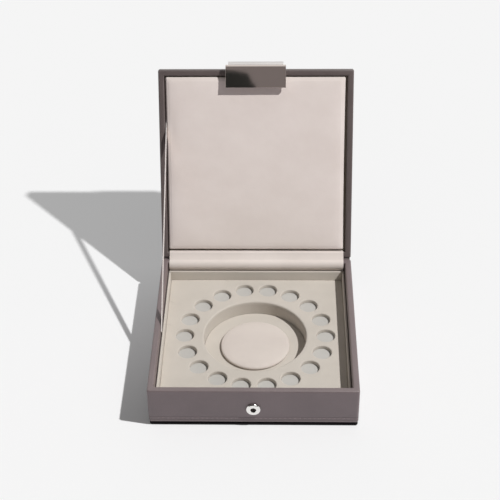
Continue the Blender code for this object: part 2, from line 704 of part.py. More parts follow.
def build_hinge():
    """The cloth over both rims, and the leather behind them, each one bent sheet across the hinge line."""
    lid_down = opened(0, 1) - opened(0, 0)
    above = HINGE_CLOTH_GAP + HINGE_CLOTH_THICKNESS
    base_inner = HINGE_Y - WALL_THICKNESS - above
    base_level = RIM_Z + above
    lid_level = LID_RIM_Z - above
    lid_inner = -LID_RIM - above
    base_centre = (base_inner - HINGE_CLOTH_BULGE + HINGE_CLOTH_ROLL, base_level - HINGE_CLOTH_ROLL)
    base_bend = arc(base_centre, HINGE_CLOTH_ROLL, 180, 90, CLOTH_ROLL_STEPS)
    lid_centre = (lid_inner + HINGE_CLOTH_ROUND, lid_level + HINGE_CLOTH_ROUND)
    lid_bend = arc(lid_centre, HINGE_CLOTH_ROUND, 270, 180, SMALL_ARC_STEPS)
    leaves_groove = Vector((base_inner, LINING_TOP_Z + FIT_GAP))
    crease = Vector((HINGE_Y - HINGE_CLOTH_CREASE, base_level))
    path = [Vector((base_inner, RIM_Z - HINGE_CLOTH_BASE_DROP)), leaves_groove, *base_bend, crease]
    path += [opened(point.x, point.y) for point in lid_bend]
    path.append(opened(lid_inner, LID_RIM_Z + HINGE_CLOTH_LID_DROP))
    reach = BASE_WIDTH / 2 - HINGE_CLOTH_END
    cloth = prism_shape(thick_path(path, HINGE_CLOTH_THICKNESS), along_x, -reach, reach)
    piece("hinge_cloth", cloth, "suede")

    outer = SPINE_GAP + SPINE_THICKNESS
    fold = meet(Vector((HINGE_Y + outer, HINGE_Z)), Vector((0, 1)), opened(outer, 0), lid_down)
    path = [
        Vector((HINGE_Y + outer, RIM_Z - SPINE_BASE_LEG)),
        fold,
        opened(outer, SPINE_LID_LEG),
    ]
    outline = thick_path(path[::-1], SPINE_THICKNESS)
    reach = BASE_WIDTH / 2 - SPINE_END
    piece("hinge_spine", prism_shape(outline, along_x, -reach, reach), "leather")


def build_ribbon():
    """A flat ribbon pulled straight from the lid's left groove to the base's left wall.

    Its lid end is cut level with the lid, so that both edges go equally deep into the groove.
    """
    lid_end = opened(-RIBBON_LID_REACH, LID_RIM_Z + RIBBON_LID_SINK)
    base_end = Vector((-RIBBON_FRONT_OF_CENTRE, RIM_Z - RIBBON_RIM_DROP))
    along = (lid_end - base_end).normalized()
    start = base_end - along * RIBBON_BASE_TAIL
    aside = Vector((along.y, -along.x)) * (RIBBON_WIDTH / 2)
    lid_along = opened(-1, 0) - opened(0, 0)
    lid_cut = opened(0, LID_RIM_Z + RIBBON_LID_END)
    ends = [meet(start + side, along, lid_cut, lid_along) for side in (aside, -aside)]
    outline = [start - aside, start + aside, *ends]
    near_wall = -BASE_WIDTH / 2 + WALL_THICKNESS + RIBBON_WALL_GAP
    piece("ribbon_stay", prism_shape(outline, along_x, near_wall, near_wall + RIBBON_THICKNESS), "ribbon")


def folded(y, z):
    """A point of the hanging tab, in the tab's axes, taken to the lid's axes with the tab folded in."""
    turned = Matrix.Rotation(TAB_FOLD_ANGLE, 2) @ Vector((y, z))
    return Vector((-LID_REACH - TAB_PIVOT_OUT, -TAB_PIVOT_DROP)) + turned


def strap_path():
    """The strap's outer side: glued to the lid's front, over a soft arch and down behind the plate."""
    wall = -LID_REACH - FIT_GAP - STRAP_THICKNESS
    root = Vector((wall, LID_RIM_Z + STRAP_ROOT_BACK))
    leaves = Vector((wall, LID_RIM_Z + STRAP_ROOT_BACK - STRAP_ROOT_LENGTH))
    crest = Vector((-LID_REACH - STRAP_CREST_OUT, LID_RIM_Z + STRAP_CREST_BACK))
    enters = folded(STRAP_FRONT, -TAB_FACE_DROP + TAB_CURL_RADIUS)
    foot = folded(STRAP_FRONT, -TAB_FACE_DROP - TAB_PLATE_HEIGHT + STRAP_FOOT_GAP)
    rise = (leaves.y - crest.y) / 2
    drop = (crest.y - enters.y) / 2
    first = [leaves, leaves - Vector((0, rise)), crest + Vector((0, rise / 2)), crest]
    inward = (enters - foot).normalized() * drop
    second = [crest, crest - Vector((0, drop * 3 / 4)), enters + inward, enters]
    path = [root]
    for bend in (first, second):
        path += [bezier_point(bend, i / STRAP_CURVE_STEPS) for i in range(STRAP_CURVE_STEPS)]
    return path + [enters, foot]


def bezier_point(handles, t):
    a, b, c, d = handles
    return a * (1 - t) ** 3 + b * 3 * t * (1 - t) ** 2 + c * 3 * t**2 * (1 - t) + d * t**3


def build_tab(lid_pivot, tab_pivot):
    half = TAB_WIDTH / 2
    top, bottom = -TAB_FACE_DROP, -TAB_FACE_DROP - TAB_PLATE_HEIGHT
    curl = arc((-TAB_FACE_OUT + TAB_CURL_RADIUS, top), TAB_CURL_RADIUS, 180, 90)
    path = [Vector((-TAB_FACE_OUT, bottom)), *curl]
    inside = half - TAB_SHEET_THICKNESS / 2
    sheet = prism_shape(thick_path(path, TAB_SHEET_THICKNESS), along_x, -inside, inside)
    plate = piece("tab_plate", sheet, "steel", tab_pivot)
    lip_back = -TAB_FACE_OUT + TAB_SIDE_LIP
    cheek = path + [Vector((lip_back, curl[-1].y)), Vector((lip_back, bottom))]
    for side, outer in (("left", -half), ("right", half)):
        inner = outer - math.copysign(TAB_SHEET_THICKNESS, outer)
        low, high = sorted((outer, inner))
        join(f"plate_cheek_{side}", prism_shape(cheek, along_x, low, high), plate, tab_pivot)
    bevel(plate, TAB_CORNER_ROUND)

    outline = thick_path(strap_path(), -STRAP_THICKNESS)
    strap_shape = prism_shape(outline, along_x, -STRAP_WIDTH / 2, STRAP_WIDTH / 2)
    strap = piece("tab_strap", strap_shape, "strap_leather", lid_pivot)
    hole = arc((0, 0), RIVET_RADIUS + RIVET_CLEARANCE, 0, 360, TURNED_STEPS)[:-1]
    reach = STRAP_THICKNESS / 2 + CUT_OVERRUN
    hole_centre = folded(STRAP_FRONT + STRAP_THICKNESS / 2, -STUD_DROP)
    drill = prism_shape(hole, along_y, -reach, reach)
    fold = Matrix.Rotation(TAB_FOLD_ANGLE, 3, "X")
    bmesh.ops.rotate(drill, cent=(0, 0, 0), matrix=fold, verts=drill.verts)
    cutter("strap_rivet_hole", drill, strap, lid_pivot, (0, hole_centre.x, hole_centre.y))

    stud_base = STRAP_BACK + FIT_GAP
    crown = stud_base + STUD_FLANGE_THICKNESS + STUD_HEIGHT
    profile = [(0, stud_base), (STUD_FLANGE_RADIUS, stud_base)]
    flange_top = stud_base + STUD_FLANGE_THICKNESS
    profile += [(STUD_FLANGE_RADIUS, flange_top), (STUD_RADIUS, flange_top)]
    tip_centre = (STUD_RADIUS - STUD_ROUND, crown - STUD_ROUND)
    profile += [tuple(point) for point in arc(tip_centre, STUD_ROUND, 0, 90, SMALL_ARC_STEPS)]
    profile.append((0, crown))
    piece("snap_stud", facing_back(turned_shape(profile)), "steel", tab_pivot, (0, 0, -STUD_DROP))

    shank_front = -TAB_FACE_OUT + TAB_SHEET_THICKNESS + FIT_GAP
    profile = [(0, shank_front), (RIVET_FLANGE_RADIUS, shank_front)]
    profile += [(RIVET_FLANGE_RADIUS, STRAP_FRONT - FIT_GAP), (RIVET_RADIUS, STRAP_FRONT - FIT_GAP)]
    profile += [(RIVET_RADIUS, STRAP_BACK), (0, STRAP_BACK)]
    piece("stud_rivet", facing_back(turned_shape(profile)), "steel", tab_pivot, (0, 0, -STUD_DROP))


def main():
    clear_scene()
    build_base()
    build_lining_boards()
    build_tray()
    build_snap_socket()
    lid_pivot = pivot("lid_pivot", (0, HINGE_Y, HINGE_Z), -LID_OPEN_ANGLE)
    build_lid(lid_pivot)
    build_hinge()
    build_ribbon()
    tab_place = (0, -LID_REACH - TAB_PIVOT_OUT, -TAB_PIVOT_DROP)
    tab_pivot = pivot("tab_pivot", tab_place, TAB_FOLD_ANGLE, lid_pivot)
    build_tab(lid_pivot, tab_pivot)


main()
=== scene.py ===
# %% [markdown]
# # A lidded jewelry box
# This is a square box in pebbled leather, standing open. A padded suede panel lines its lid, and a suede
# tray in its base has a ring of round wells and a round pit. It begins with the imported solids, which are
# the fixed frame: each soft or shiny surface made below takes the place of one of them and stays where
# it is. The box around the solids is kept, to compare with the finished model at the end.

import bmesh
import bpy
import numpy as np
from mathutils import Matrix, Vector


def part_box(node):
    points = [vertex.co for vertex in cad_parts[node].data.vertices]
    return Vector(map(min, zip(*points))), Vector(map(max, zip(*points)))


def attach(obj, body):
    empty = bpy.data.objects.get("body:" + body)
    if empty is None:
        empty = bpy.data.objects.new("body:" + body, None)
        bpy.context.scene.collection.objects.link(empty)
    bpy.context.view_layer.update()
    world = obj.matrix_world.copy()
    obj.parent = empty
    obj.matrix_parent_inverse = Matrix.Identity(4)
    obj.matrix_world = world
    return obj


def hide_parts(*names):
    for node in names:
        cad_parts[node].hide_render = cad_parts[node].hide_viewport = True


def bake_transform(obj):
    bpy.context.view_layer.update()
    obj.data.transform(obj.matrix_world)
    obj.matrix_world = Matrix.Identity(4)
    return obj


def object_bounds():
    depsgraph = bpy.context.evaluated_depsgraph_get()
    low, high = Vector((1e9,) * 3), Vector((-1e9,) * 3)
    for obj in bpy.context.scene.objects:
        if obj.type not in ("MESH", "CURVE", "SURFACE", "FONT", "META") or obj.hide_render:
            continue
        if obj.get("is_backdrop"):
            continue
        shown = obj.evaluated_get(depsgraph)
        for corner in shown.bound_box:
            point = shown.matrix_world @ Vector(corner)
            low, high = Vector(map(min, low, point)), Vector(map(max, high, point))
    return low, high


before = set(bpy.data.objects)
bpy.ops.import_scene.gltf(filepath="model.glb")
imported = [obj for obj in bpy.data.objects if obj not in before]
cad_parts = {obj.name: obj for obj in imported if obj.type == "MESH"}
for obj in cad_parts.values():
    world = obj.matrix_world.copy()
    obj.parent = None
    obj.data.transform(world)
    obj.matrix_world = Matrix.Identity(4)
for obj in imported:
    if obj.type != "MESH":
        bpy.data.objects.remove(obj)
cad_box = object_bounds()

# %% [markdown]
# ## The camera
# The camera stands in front of the box, a little to the right, and looks down at 38 degrees with a long
# lens. Its place was found by fitting the box's straight edges to the photograph. The three directions
# are worked out one by one, so that the small roll of the picture can be given as an angle of its own.

# %% Place the camera
PITCH, YAW, ROLL = np.radians([38.32, -1.75, -0.97])
CAMERA_PLACE = np.array([0.01872, -0.7041, 0.6615])
SENSOR, FOCAL_PIXELS, PICTURE_PIXELS = 36, 1217.6, 500
forward = np.array([np.sin(YAW) * np.cos(PITCH), np.cos(YAW) * np.cos(PITCH), -np.sin(PITCH)])
level_right = np.array([np.cos(YAW), -np.sin(YAW), 0.0])
level_up = np.cross(level_right, forward)
view_right = np.cos(ROLL) * level_right + np.sin(ROLL) * level_up
view_up = np.cos(ROLL) * level_up - np.sin(ROLL) * level_right
placing = np.eye(4)
placing[:3] = np.column_stack([view_right, view_up, -forward, CAMERA_PLACE])
camera = bpy.data.objects.new("camera", bpy.data.cameras.new("camera"))
camera.data.sensor_width = SENSOR
camera.data.lens = FOCAL_PIXELS * SENSOR / PICTURE_PIXELS
camera.data.clip_start = 0.05
camera.matrix_world = Matrix(placing.tolist())
bpy.context.scene.collection.objects.link(camera)
bpy.context.scene.camera = camera
bpy.context.scene.view_settings.view_transform = "Standard"
print("lens:", round(camera.data.lens, 1), "mm")

# %% [markdown]
# ## Nodes by hand
# Every finish below is a small network of nodes. One helper opens a new material and gives its shader,
# and another adds a node, sets its properties and fills its inputs, from a number or from another node's
# output. The rest wrap the few nodes that every recipe needs.

# %% Helpers for materials
def new_finish(name, roughness, **sockets):
    """An empty material and its shader. Values that hold all over are set on the shader's own sockets."""
    material = bpy.data.materials.new(name)
    material.use_nodes = True
    shader = material.node_tree.nodes["Principled BSDF"]
    shader.inputs["Roughness"].default_value = roughness
    for socket, value in sockets.items():
        shader.inputs[socket.replace("_", " ")].default_value = value
    return material, shader


def add(material, kind, inputs=(), **properties):
    """A node of that kind. inputs pairs a socket's name or number with a value or with another socket."""
    node = material.node_tree.nodes.new(kind)
    for name, value in properties.items():
        setattr(node, name, value)
    for socket, value in dict(inputs).items():
        if isinstance(value, bpy.types.NodeSocket):
            material.node_tree.links.new(value, node.inputs[socket])
        else:
            node.inputs[socket].default_value = value
    return node


def place_of(material, scale=(1, 1, 1)):
    """The point in the object's own axes, in metres, stretched by scale."""
    where = add(material, "ShaderNodeTexCoord").outputs["Object"]
    return add(material, "ShaderNodeMapping", {"Vector": where, "Scale": scale}).outputs["Vector"]


def between(material, share, first, second):
    """A colour that goes from first to second as share goes from 0 to 1. Both may be sockets too."""
    first, second = (
        end if isinstance(end, bpy.types.NodeSocket) else (*end, 1) for end in (first, second)
    )
    inputs = {0: share, 6: first, 7: second}
    return add(material, "ShaderNodeMix", inputs, data_type="RGBA").outputs[2]


def maths(material, operation, *values):
    """One step of arithmetic on numbers or sockets."""
    return add(material, "ShaderNodeMath", enumerate(values), operation=operation).outputs[0]


def noise(material, where, per_metre, detail):
    """Soft noise with that many waves to the metre."""
    inputs = {"Vector": where, "Scale": per_metre, "Detail": detail}
    return add(material, "ShaderNodeTexNoise", inputs).outputs["Fac"]


def spread(material, value, low, high, to_low, to_high):
    """The value's stretch from low to high, carried onto the stretch from to_low to to_high."""
    inputs = {"Value": value, "From Min": low, "From Max": high, "To Min": to_low, "To Max": to_high}
    return add(material, "ShaderNodeMapRange", inputs).outputs["Result"]


def total(material, first, second, share):
    """first + second * share."""
    return maths(material, "MULTIPLY_ADD", second, share, first)


def relief(material, shader, height, depth, strength):
    """Raises the surface by height times depth, in metres, as a bump."""
    inputs = {"Height": height, "Distance": depth, "Strength": strength}
    bump = add(material, "ShaderNodeBump", inputs)
    material.node_tree.links.new(bump.outputs["Normal"], shader.inputs["Normal"])


def colour(material, shader, value):
    """Gives the shader its colour."""
    material.node_tree.links.new(value, shader.inputs["Base Color"])


# %% [markdown]
# ## Leather
# The cover is a coated leather with a fine pebbled grain. Rounded cells a little under a millimetre
# across make the pebbles, a slower noise lets some patches stand higher than others, and the same slow
# noise shifts the brown a little, as dye and handling do. Two lines are pressed into the base's leather,
# and shade is painted darker along them.

# %% The leather finish
PEBBLES, FOLDS, PATCHES = 1250.0, 420.0, 38.0  # to the metre
PEBBLE_DEPTH = 0.00011
CREASES = (0.0060, 0.0087)
CREASE_HALF_WIDTH, CREASE_EDGE = 0.0001, 0.0005


def leather_finish(name, dark, light, roughness, gloss, pressed=()):
    """Pebbled leather. pressed lists the heights of lines pressed into it, along which shade is painted
    darker.
    """
    material, shader = new_finish(name, roughness, Specular_IOR_Level=gloss)
    where = place_of(material)
    inputs = {"Vector": where, "Scale": PEBBLES, "Smoothness": 0.6}
    cells = add(material, "ShaderNodeTexVoronoi", inputs, feature="SMOOTH_F1").outputs["Distance"]
    folds = noise(material, where, FOLDS, 4.0)
    patches = noise(material, where, PATCHES, 3.0)
    tone = total(material, spread(material, patches, 0.3, 0.7, 0.0, 0.7), cells, 0.45)
    leather_colour = between(material, tone, dark, light)
    if pressed:
        level = add(material, "ShaderNodeSeparateXYZ", {0: where}).outputs["Z"]
        above = [maths(material, "SUBTRACT", level, line) for line in pressed]
        away = [maths(material, "ABSOLUTE", height) for height in above]
        nearest = maths(material, "MINIMUM", away[0], away[-1])
        # painted shade: the colour is drawn darker along each pressed crease
        painted_crease_shade = spread(material, nearest, CREASE_HALF_WIDTH, CREASE_EDGE, 0.55, 0.0)
        leather_colour = between(material, painted_crease_shade, leather_colour, [0.5 * part for part in dark])
    colour(material, shader, leather_colour)
    height = total(material, spread(material, cells, 0.0, 0.8, 1.0, 0.0), folds, 0.8)
    relief(material, shader, height, PEBBLE_DEPTH, 0.55)
    return material


# Base and lid are one leather: the base's copy is given lighter and cooler as painted light, and the lid's
# darker as painted shade.
base_leather = leather_finish(
    "base_leather", (0.145, 0.1105, 0.1105), (0.181, 0.1395, 0.139), 0.45, 0.85, pressed=CREASES
)
lid_leather = leather_finish("lid_leather", (0.087, 0.067, 0.0625), (0.111, 0.087, 0.082), 0.45, 0.6)
pale_leather = leather_finish("pale_strap_leather", (0.60, 0.575, 0.555), (0.70, 0.675, 0.655), 0.42, 0.42)
print("leathers:", base_leather.name, lid_leather.name, pale_leather.name)

# %% [markdown]
# ## Suede
# The lining is a short-napped suede cloth. It has no gloss of its own, only a faint sheen where the nap
# is seen from the side. Broad soft patches show where the nap was brushed one way or the other, and a
# fine grain roughens it.

# %% The suede finishes
BRUSHED, MOTTLE, NAP = 26.0, 190.0, 2600.0  # to the metre
NAP_DEPTH = 0.00009


def suede_finish(name, dark, light):
    """Suede between two colours, in patches, raised a little by its nap."""
    material, shader = new_finish(
        name, 0.95, Specular_IOR_Level=0.15, Sheen_Weight=0.12, Sheen_Roughness=0.5
    )
    where = place_of(material)
    brushed = noise(material, place_of(material, (1.0, 1.6, 1.3)), BRUSHED, 2.0)
    mottle = noise(material, where, MOTTLE, 3.0)
    nap = noise(material, where, NAP, 2.0)
    tone = total(material, spread(material, brushed, 0.32, 0.68, 0.0, 0.6), mottle, 0.35)
    colour(material, shader, between(material, total(material, tone, nap, 0.15), dark, light))
    relief(material, shader, total(material, nap, mottle, 1.5), NAP_DEPTH, 0.5)
    return material


# One suede lines lid and base: the lid's copy is given lightest and the tray's and cushion's darker, as
# painted light and painted shade for how light falls on each.
lid_suede = suede_finish("lid_suede", (0.695, 0.618, 0.570), (0.765, 0.692, 0.645))
hinge_suede = suede_finish("hinge_suede", (0.655, 0.585, 0.540), (0.725, 0.655, 0.610))
tray_suede = suede_finish("tray_suede", (0.518, 0.474, 0.420), (0.575, 0.527, 0.470))
cushion_suede = suede_finish("cushion_suede", (0.590, 0.525, 0.480), (0.650, 0.585, 0.535))
well_suede = suede_finish("well_suede", (0.455, 0.438, 0.410), (0.512, 0.495, 0.466))
print("suedes:", lid_suede.name, hinge_suede.name, tray_suede.name)

# %% [markdown]
# ## Metal, felt, card and ribbon
# The plate and the snap are polished metal, with hairlines so fine that they only soften the
# reflections. The pad under the box is black felt, the boards inside are grey card with fibres in it,
# and the ribbon is woven, with ribs across it.

# %% The other finishes
HAIRLINES, SMUDGES, RIBS, THREADS = 3000.0, 90.0, 420.0, 1800.0  # to the metre
HAIRLINE_DEPTH, RIB_DEPTH = 0.000004, 0.00006


def metal_finish(name, tint, roughness):
    """Polished metal with hairlines along X and faint smudges."""
    material, shader = new_finish(name, roughness, Metallic=1.0)
    hairlines = noise(material, place_of(material, (0.04, 1.0, 1.0)), HAIRLINES, 2.0)
    smudges = noise(material, place_of(material), SMUDGES, 3.0)
    dull = [0.94 * part for part in tint]
    colour(material, shader, between(material, smudges, dull, tint))
    smudged = spread(material, smudges, 0.3, 0.7, 0.8 * roughness, 1.1 * roughness)
    shine = total(material, smudged, hairlines, 0.03)
    material.node_tree.links.new(shine, shader.inputs["Roughness"])
    relief(material, shader, hairlines, HAIRLINE_DEPTH, 0.25)
    return material


def fibre_finish(name, dark, light, per_metre, depth):
    """Felt or card: fibres drawn out along X and Z, with broader flecks."""
    material, shader = new_finish(name, 0.95, Specular_IOR_Level=0.2)
    fibres = noise(material, place_of(material, (1.0, 2.5, 1.0)), per_metre, 5.0)
    flecks = noise(material, place_of(material), per_metre / 6, 2.0)
    colour(material, shader, between(material, total(material, fibres, flecks, 0.4), dark, light))
    relief(material, shader, fibres, depth, 0.6)
    return material


def ribbon_finish(name, dark, light):
    """A weave with slanted ribs, for the ribbon and for thread."""
    material, shader = new_finish(name, 0.45, Sheen_Weight=0.3)
    where = place_of(material)
    inputs = {"Vector": where, "Scale": RIBS, "Distortion": 0.3, "Detail": 1.0}
    ribs = add(material, "ShaderNodeTexWave", inputs, bands_direction="DIAGONAL").outputs["Fac"]
    threads = noise(material, where, THREADS, 2.0)
    colour(material, shader, between(material, total(material, ribs, threads, 0.5), dark, light))
    relief(material, shader, ribs, RIB_DEPTH, 0.5)
    return material


plate_metal = metal_finish("polished_plate", (0.695, 0.618, 0.569), 0.02)
snap_metal = metal_finish("snap_metal", (0.90, 0.885, 0.86), 0.14)
# The rivet is given nearly black, as painted shade for the socket's dark hole.
hole_shade_metal = metal_finish("dark_rivet", (0.05, 0.046, 0.042), 0.5)
felt = fibre_finish("black_felt", (0.008, 0.008, 0.009), (0.022, 0.021, 0.022), 2200.0, 0.0002)
card = fibre_finish("grey_card", (0.25, 0.21, 0.165), (0.36, 0.31, 0.25), 900.0, 0.00005)
ribbon = ribbon_finish("woven_ribbon", (0.60, 0.54, 0.515), (0.77, 0.71, 0.68))
thread = ribbon_finish("leather_thread", (0.19, 0.155, 0.155), (0.27, 0.23, 0.225))
print("finishes so far:", len(bpy.data.materials))

# %% [markdown]
# ## The light
# One small lamp high on the right throws the long crisp shadow to the left, and an even pale sky fills
# it. The lamp's light doesn't fade with distance, which keeps it even over the box. The camera and all
# mirrored rays see a near-white backdrop in place of the dim sky, as glossy things do in a white room.

# %% Hang the lamp and the sky
LAMP_PLACE = np.array([0.5374, -0.1924, 0.948])
LAMP_LEVEL, LAMP_RADIUS = 0.97, 0.013
SKY_LEVEL, BACKDROP = 0.20, 0.913

lamp = bpy.data.objects.new("lamp", bpy.data.lights.new("lamp", "POINT"))
lamp.data.energy = LAMP_LEVEL * 4 * np.pi**2
lamp.data.shadow_soft_size = LAMP_RADIUS
lamp.data.use_nodes = True
lamp_nodes = lamp.data.node_tree
even = add(lamp.data, "ShaderNodeLightFalloff", {"Strength": 1.0}).outputs["Constant"]
lamp_nodes.links.new(even, lamp_nodes.nodes["Emission"].inputs["Strength"])
lamp.location = LAMP_PLACE
bpy.context.scene.collection.objects.link(lamp)


def seen_directly(material):
    """1 for rays from the camera and for mirrored ones, 0 for those that only gather light."""
    path = add(material, "ShaderNodeLightPath").outputs
    either = maths(material, "MAXIMUM", path["Is Camera Ray"], path["Is Glossy Ray"])
    return maths(material, "MAXIMUM", either, path["Is Transmission Ray"])


sky = bpy.data.worlds.new("sky")
sky.use_nodes = True
bpy.context.scene.world = sky
sky_shade = between(sky, seen_directly(sky), (SKY_LEVEL,) * 3, (BACKDROP,) * 3)
sky.node_tree.links.new(sky_shade, sky.node_tree.nodes["Background"].inputs["Color"])
print("lamp at", LAMP_PLACE, "sky", SKY_LEVEL)

# %% [markdown]
# ## The floor
# The floor is plain and pale, and melts into the backdrop. What is seen of it is the backdrop's tone
# divided by the light that falls there, so it is even outside the shadow, and a glow that grows towards
# the back lifts the far end of the shadow. The light that it throws back at the box has its own colour.

# %% Lay the floor
FLOOR_REACH = 6.0
FLOOR_BOUNCE = (0.74, 0.67, 0.74)
GLOW_FROM, GLOW_TO = -0.090, 0.110  # along Y
GLOW_FRONT, GLOW_BACK = 0.017, 0.275

floor_material, floor_shader = new_finish("floor", 1.0, Specular_IOR_Level=0.0)
spot = add(floor_material, "ShaderNodeNewGeometry").outputs["Position"]
to_lamp = add(floor_material, "ShaderNodeVectorMath", {0: spot, 1: LAMP_PLACE}, operation="DISTANCE")
cosine = maths(floor_material, "DIVIDE", LAMP_PLACE[2], to_lamp.outputs["Value"])
light = total(floor_material, SKY_LEVEL, cosine, LAMP_LEVEL)
depth = add(floor_material, "ShaderNodeSeparateXYZ", {0: spot}).outputs["Y"]
glow = spread(floor_material, depth, GLOW_FROM, GLOW_TO, GLOW_FRONT, GLOW_BACK)
missing = maths(floor_material, "SUBTRACT", BACKDROP, glow)
tint = maths(floor_material, "DIVIDE", missing, light)
seen = seen_directly(floor_material)
colour(floor_material, floor_shader, between(floor_material, seen, FLOOR_BOUNCE, tint))
shown_glow = maths(floor_material, "MULTIPLY", glow, seen)
floor_shader.inputs["Emission Color"].default_value = (1, 1, 1, 1)
floor_material.node_tree.links.new(shown_glow, floor_shader.inputs["Emission Strength"])
corners = np.array([(-1, -1), (1, -1), (1, 1), (-1, 1)]) * FLOOR_REACH
floor_mesh = bpy.data.meshes.new("floor")
floor_mesh.from_pydata([(x, y, 0.0) for x, y in corners], [], [(0, 1, 2, 3)])
floor_mesh.materials.append(floor_material)
floor = bpy.data.objects.new("floor", floor_mesh)
bpy.context.scene.collection.objects.link(floor)
floor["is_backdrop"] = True
print("floor", 2 * FLOOR_REACH, "m wide")

# %% [markdown]
# ## Shapes from numbers
# Every new piece is a surface worked out with numpy. A shell is a stack of rows, and each row is a loop
# of points of the same length, so its faces follow from the row and the column. A piece is made of one or
# more shells, with doubles merged and the faces turned outwards.

# %% Shells and pieces
MERGE = 0.000001


def shell(rows, closed=False, capped=False):
    """Points and faces of a skin over rows of loops.

    closed joins the last row to the first, and capped fills both ends.
    """
    count, around = rows.shape[:2]
    i = np.arange(count if closed else count - 1)[:, None]
    j = np.arange(around)[None, :]
    here, there = i * around, (i + 1) % count * around
    ahead = (j + 1) % around
    faces = np.stack([here + j, here + ahead, there + ahead, there + j], axis=-1).reshape(-1, 4).tolist()
    if capped:
        faces.append(list(range(around))[::-1])
        faces.append(list(range((count - 1) * around, count * around)))
    return rows.reshape(-1, 3), faces


def make_piece(name, shells, material, body, stands_for=(), sharp=50):
    """An object made of shells, that rides on a body and stands for CAD nodes."""
    points, faces, start = [], [], 0
    for corners, loops in shells:
        points.append(corners)
        faces += [[start + k for k in loop] for loop in loops]
        start += len(corners)
    mesh = bpy.data.meshes.new(name)
    mesh.from_pydata(np.concatenate(points).tolist(), [], faces)
    work = bmesh.new()
    work.from_mesh(mesh)
    bmesh.ops.remove_doubles(work, verts=work.verts, dist=MERGE)
    bmesh.ops.recalc_face_normals(work, faces=work.faces)
    work.to_mesh(mesh)
    work.free()
    mesh.materials.append(material)
    mesh.shade_smooth()
    mesh.set_sharp_from_angle(angle=np.radians(sharp))
    piece = bpy.data.objects.new(name, mesh)
    bpy.context.scene.collection.objects.link(piece)
    if body:
        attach(piece, body)
    if stands_for:
        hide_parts(*stands_for)
    print(name, len(mesh.polygons), "faces")
    return piece


def arc(centre, radius, start, end, steps=8):
    """Points of an arc from start to end, in degrees: centre + radius cos and centre + radius sin."""
    angles = np.radians(np.linspace(start, end, steps + 1))
    return np.array(centre) + radius * np.column_stack([np.cos(angles), np.sin(angles)])


def sheet_outline(path, thickness):
    """The outline of a sheet: the path, then back along the path moved to its right by the thickness."""
    steps = np.diff(path, axis=0)
    steps = steps / np.linalg.norm(steps, axis=1)[:, None]
    before = np.vstack([steps[:1], steps])
    after = np.vstack([steps, steps[-1:]])
    aside = np.column_stack([before[:, 1] + after[:, 1], -before[:, 0] - after[:, 0]])
    moved = path + aside * (2 * thickness / (aside**2).sum(axis=1))[:, None]
    return np.vstack([path, moved[::-1]])


def rectangle_loops(half_x, half_y, insets, corner, corner_steps=8, side_steps=24):
    """Loops round a rectangle, each moved in by its inset: four corner arcs, joined by straight sides."""
    insets = np.asarray(insets, float)[:, None, None, None]
    signs = np.array([(1, 1), (-1, 1), (-1, -1), (1, -1)])[None, :, None, :]
    turn = np.radians(90 * np.arange(4)[:, None] + np.linspace(0, 90, corner_steps + 1)[None, :])
    unit = np.stack([np.cos(turn), np.sin(turn)], axis=-1)[None]
    reach = np.array([half_x, half_y]) - np.maximum(insets, corner)
    bends = signs * reach + np.maximum(corner - insets, 0.0) * unit
    share = (np.arange(1, side_steps) / side_steps)[None, None, :, None]
    ends, starts = bends[:, :, -1:], np.roll(bends, -1, axis=1)[:, :, :1]
    sides = ends * (1 - share) + starts * share
    loops = np.concatenate([bends, sides], axis=2)
    return loops.reshape(len(insets), -1, 2)


def framed(profile, half_x, half_y, corner, **steps):
    """A profile of inset and height, carried round a rectangle."""
    loops = rectangle_loops(half_x, half_y, profile[:, 0], corner, **steps)
    heights = np.broadcast_to(profile[:, 1, None, None], (*loops.shape[:2], 1))
    return np.concatenate([loops, heights], axis=2)


def turned(profile, steps, centre=(0.0, 0.0)):
    """A profile of radius and height, turned about an upright line."""
    angles = 2 * np.pi * np.arange(steps)[:, None] / steps
    radius, height = profile[None, :, 0], profile[None, :, 1]
    x = centre[0] + radius * np.cos(angles)
    y = centre[1] + radius * np.sin(angles)
    return np.stack([x, y, np.broadcast_to(height, x.shape)], axis=-1)


def along_x(outline, stations):
    """An outline in Y and Z, repeated at each station along X."""
    rows = np.broadcast_to(outline[None], (len(stations), *outline.shape))
    x = np.broadcast_to(np.asarray(stations)[:, None, None], (*rows.shape[:2], 1))
    return np.concatenate([x, rows], axis=2)


# %% [markdown]
# ## The leather of the base
# One strip of leather starts under the wall, rounds the foot, climbs the outside, turns over the rim and
# runs down inside. Its section is one path, thickened inwards and carried round the square. Two shallow
# creases run above the foot, where the cover is folded in, with a row of stitches between them.

# %% Wrap the base
HALF, HALF_DEEP = 0.0775, 0.077
LEATHER_Z, RIM_Z, TURN_IN = 0.002, 0.035, 0.012
WALL, LEATHER = 0.005, 0.0008
RIM_ROUND, FOOT, CORNER = 0.0013, 0.003, 0.002
dip = np.array([(0, -0.0005), (0.0001, -0.0002), (0.00018, 0), (0.0001, 0.0002), (0, 0.0005)])
base_path = np.vstack([
    [(WALL, LEATHER_Z)],
    arc((FOOT, LEATHER_Z + FOOT), FOOT, 270, 180, 12),
    *[dip + [0, height] for height in CREASES],
    arc((RIM_ROUND, RIM_Z - RIM_ROUND), RIM_ROUND, 180, 90),
    arc((WALL - RIM_ROUND, RIM_Z - RIM_ROUND), RIM_ROUND, 90, 0),
    [(WALL, RIM_Z - TURN_IN)],
])
base_rows = framed(sheet_outline(base_path, LEATHER), HALF, HALF_DEEP, CORNER)
make_piece("base_cover", [shell(base_rows, closed=True)], base_leather, "base", ["base_leather"])

# %% [markdown]
# ## The felt under the base
# A thin pad of black felt keeps the box off the table. It stands a little inside the leather, so all that
# shows of it is a dark line under the foot. Its edges are cut, so they are only slightly soft.

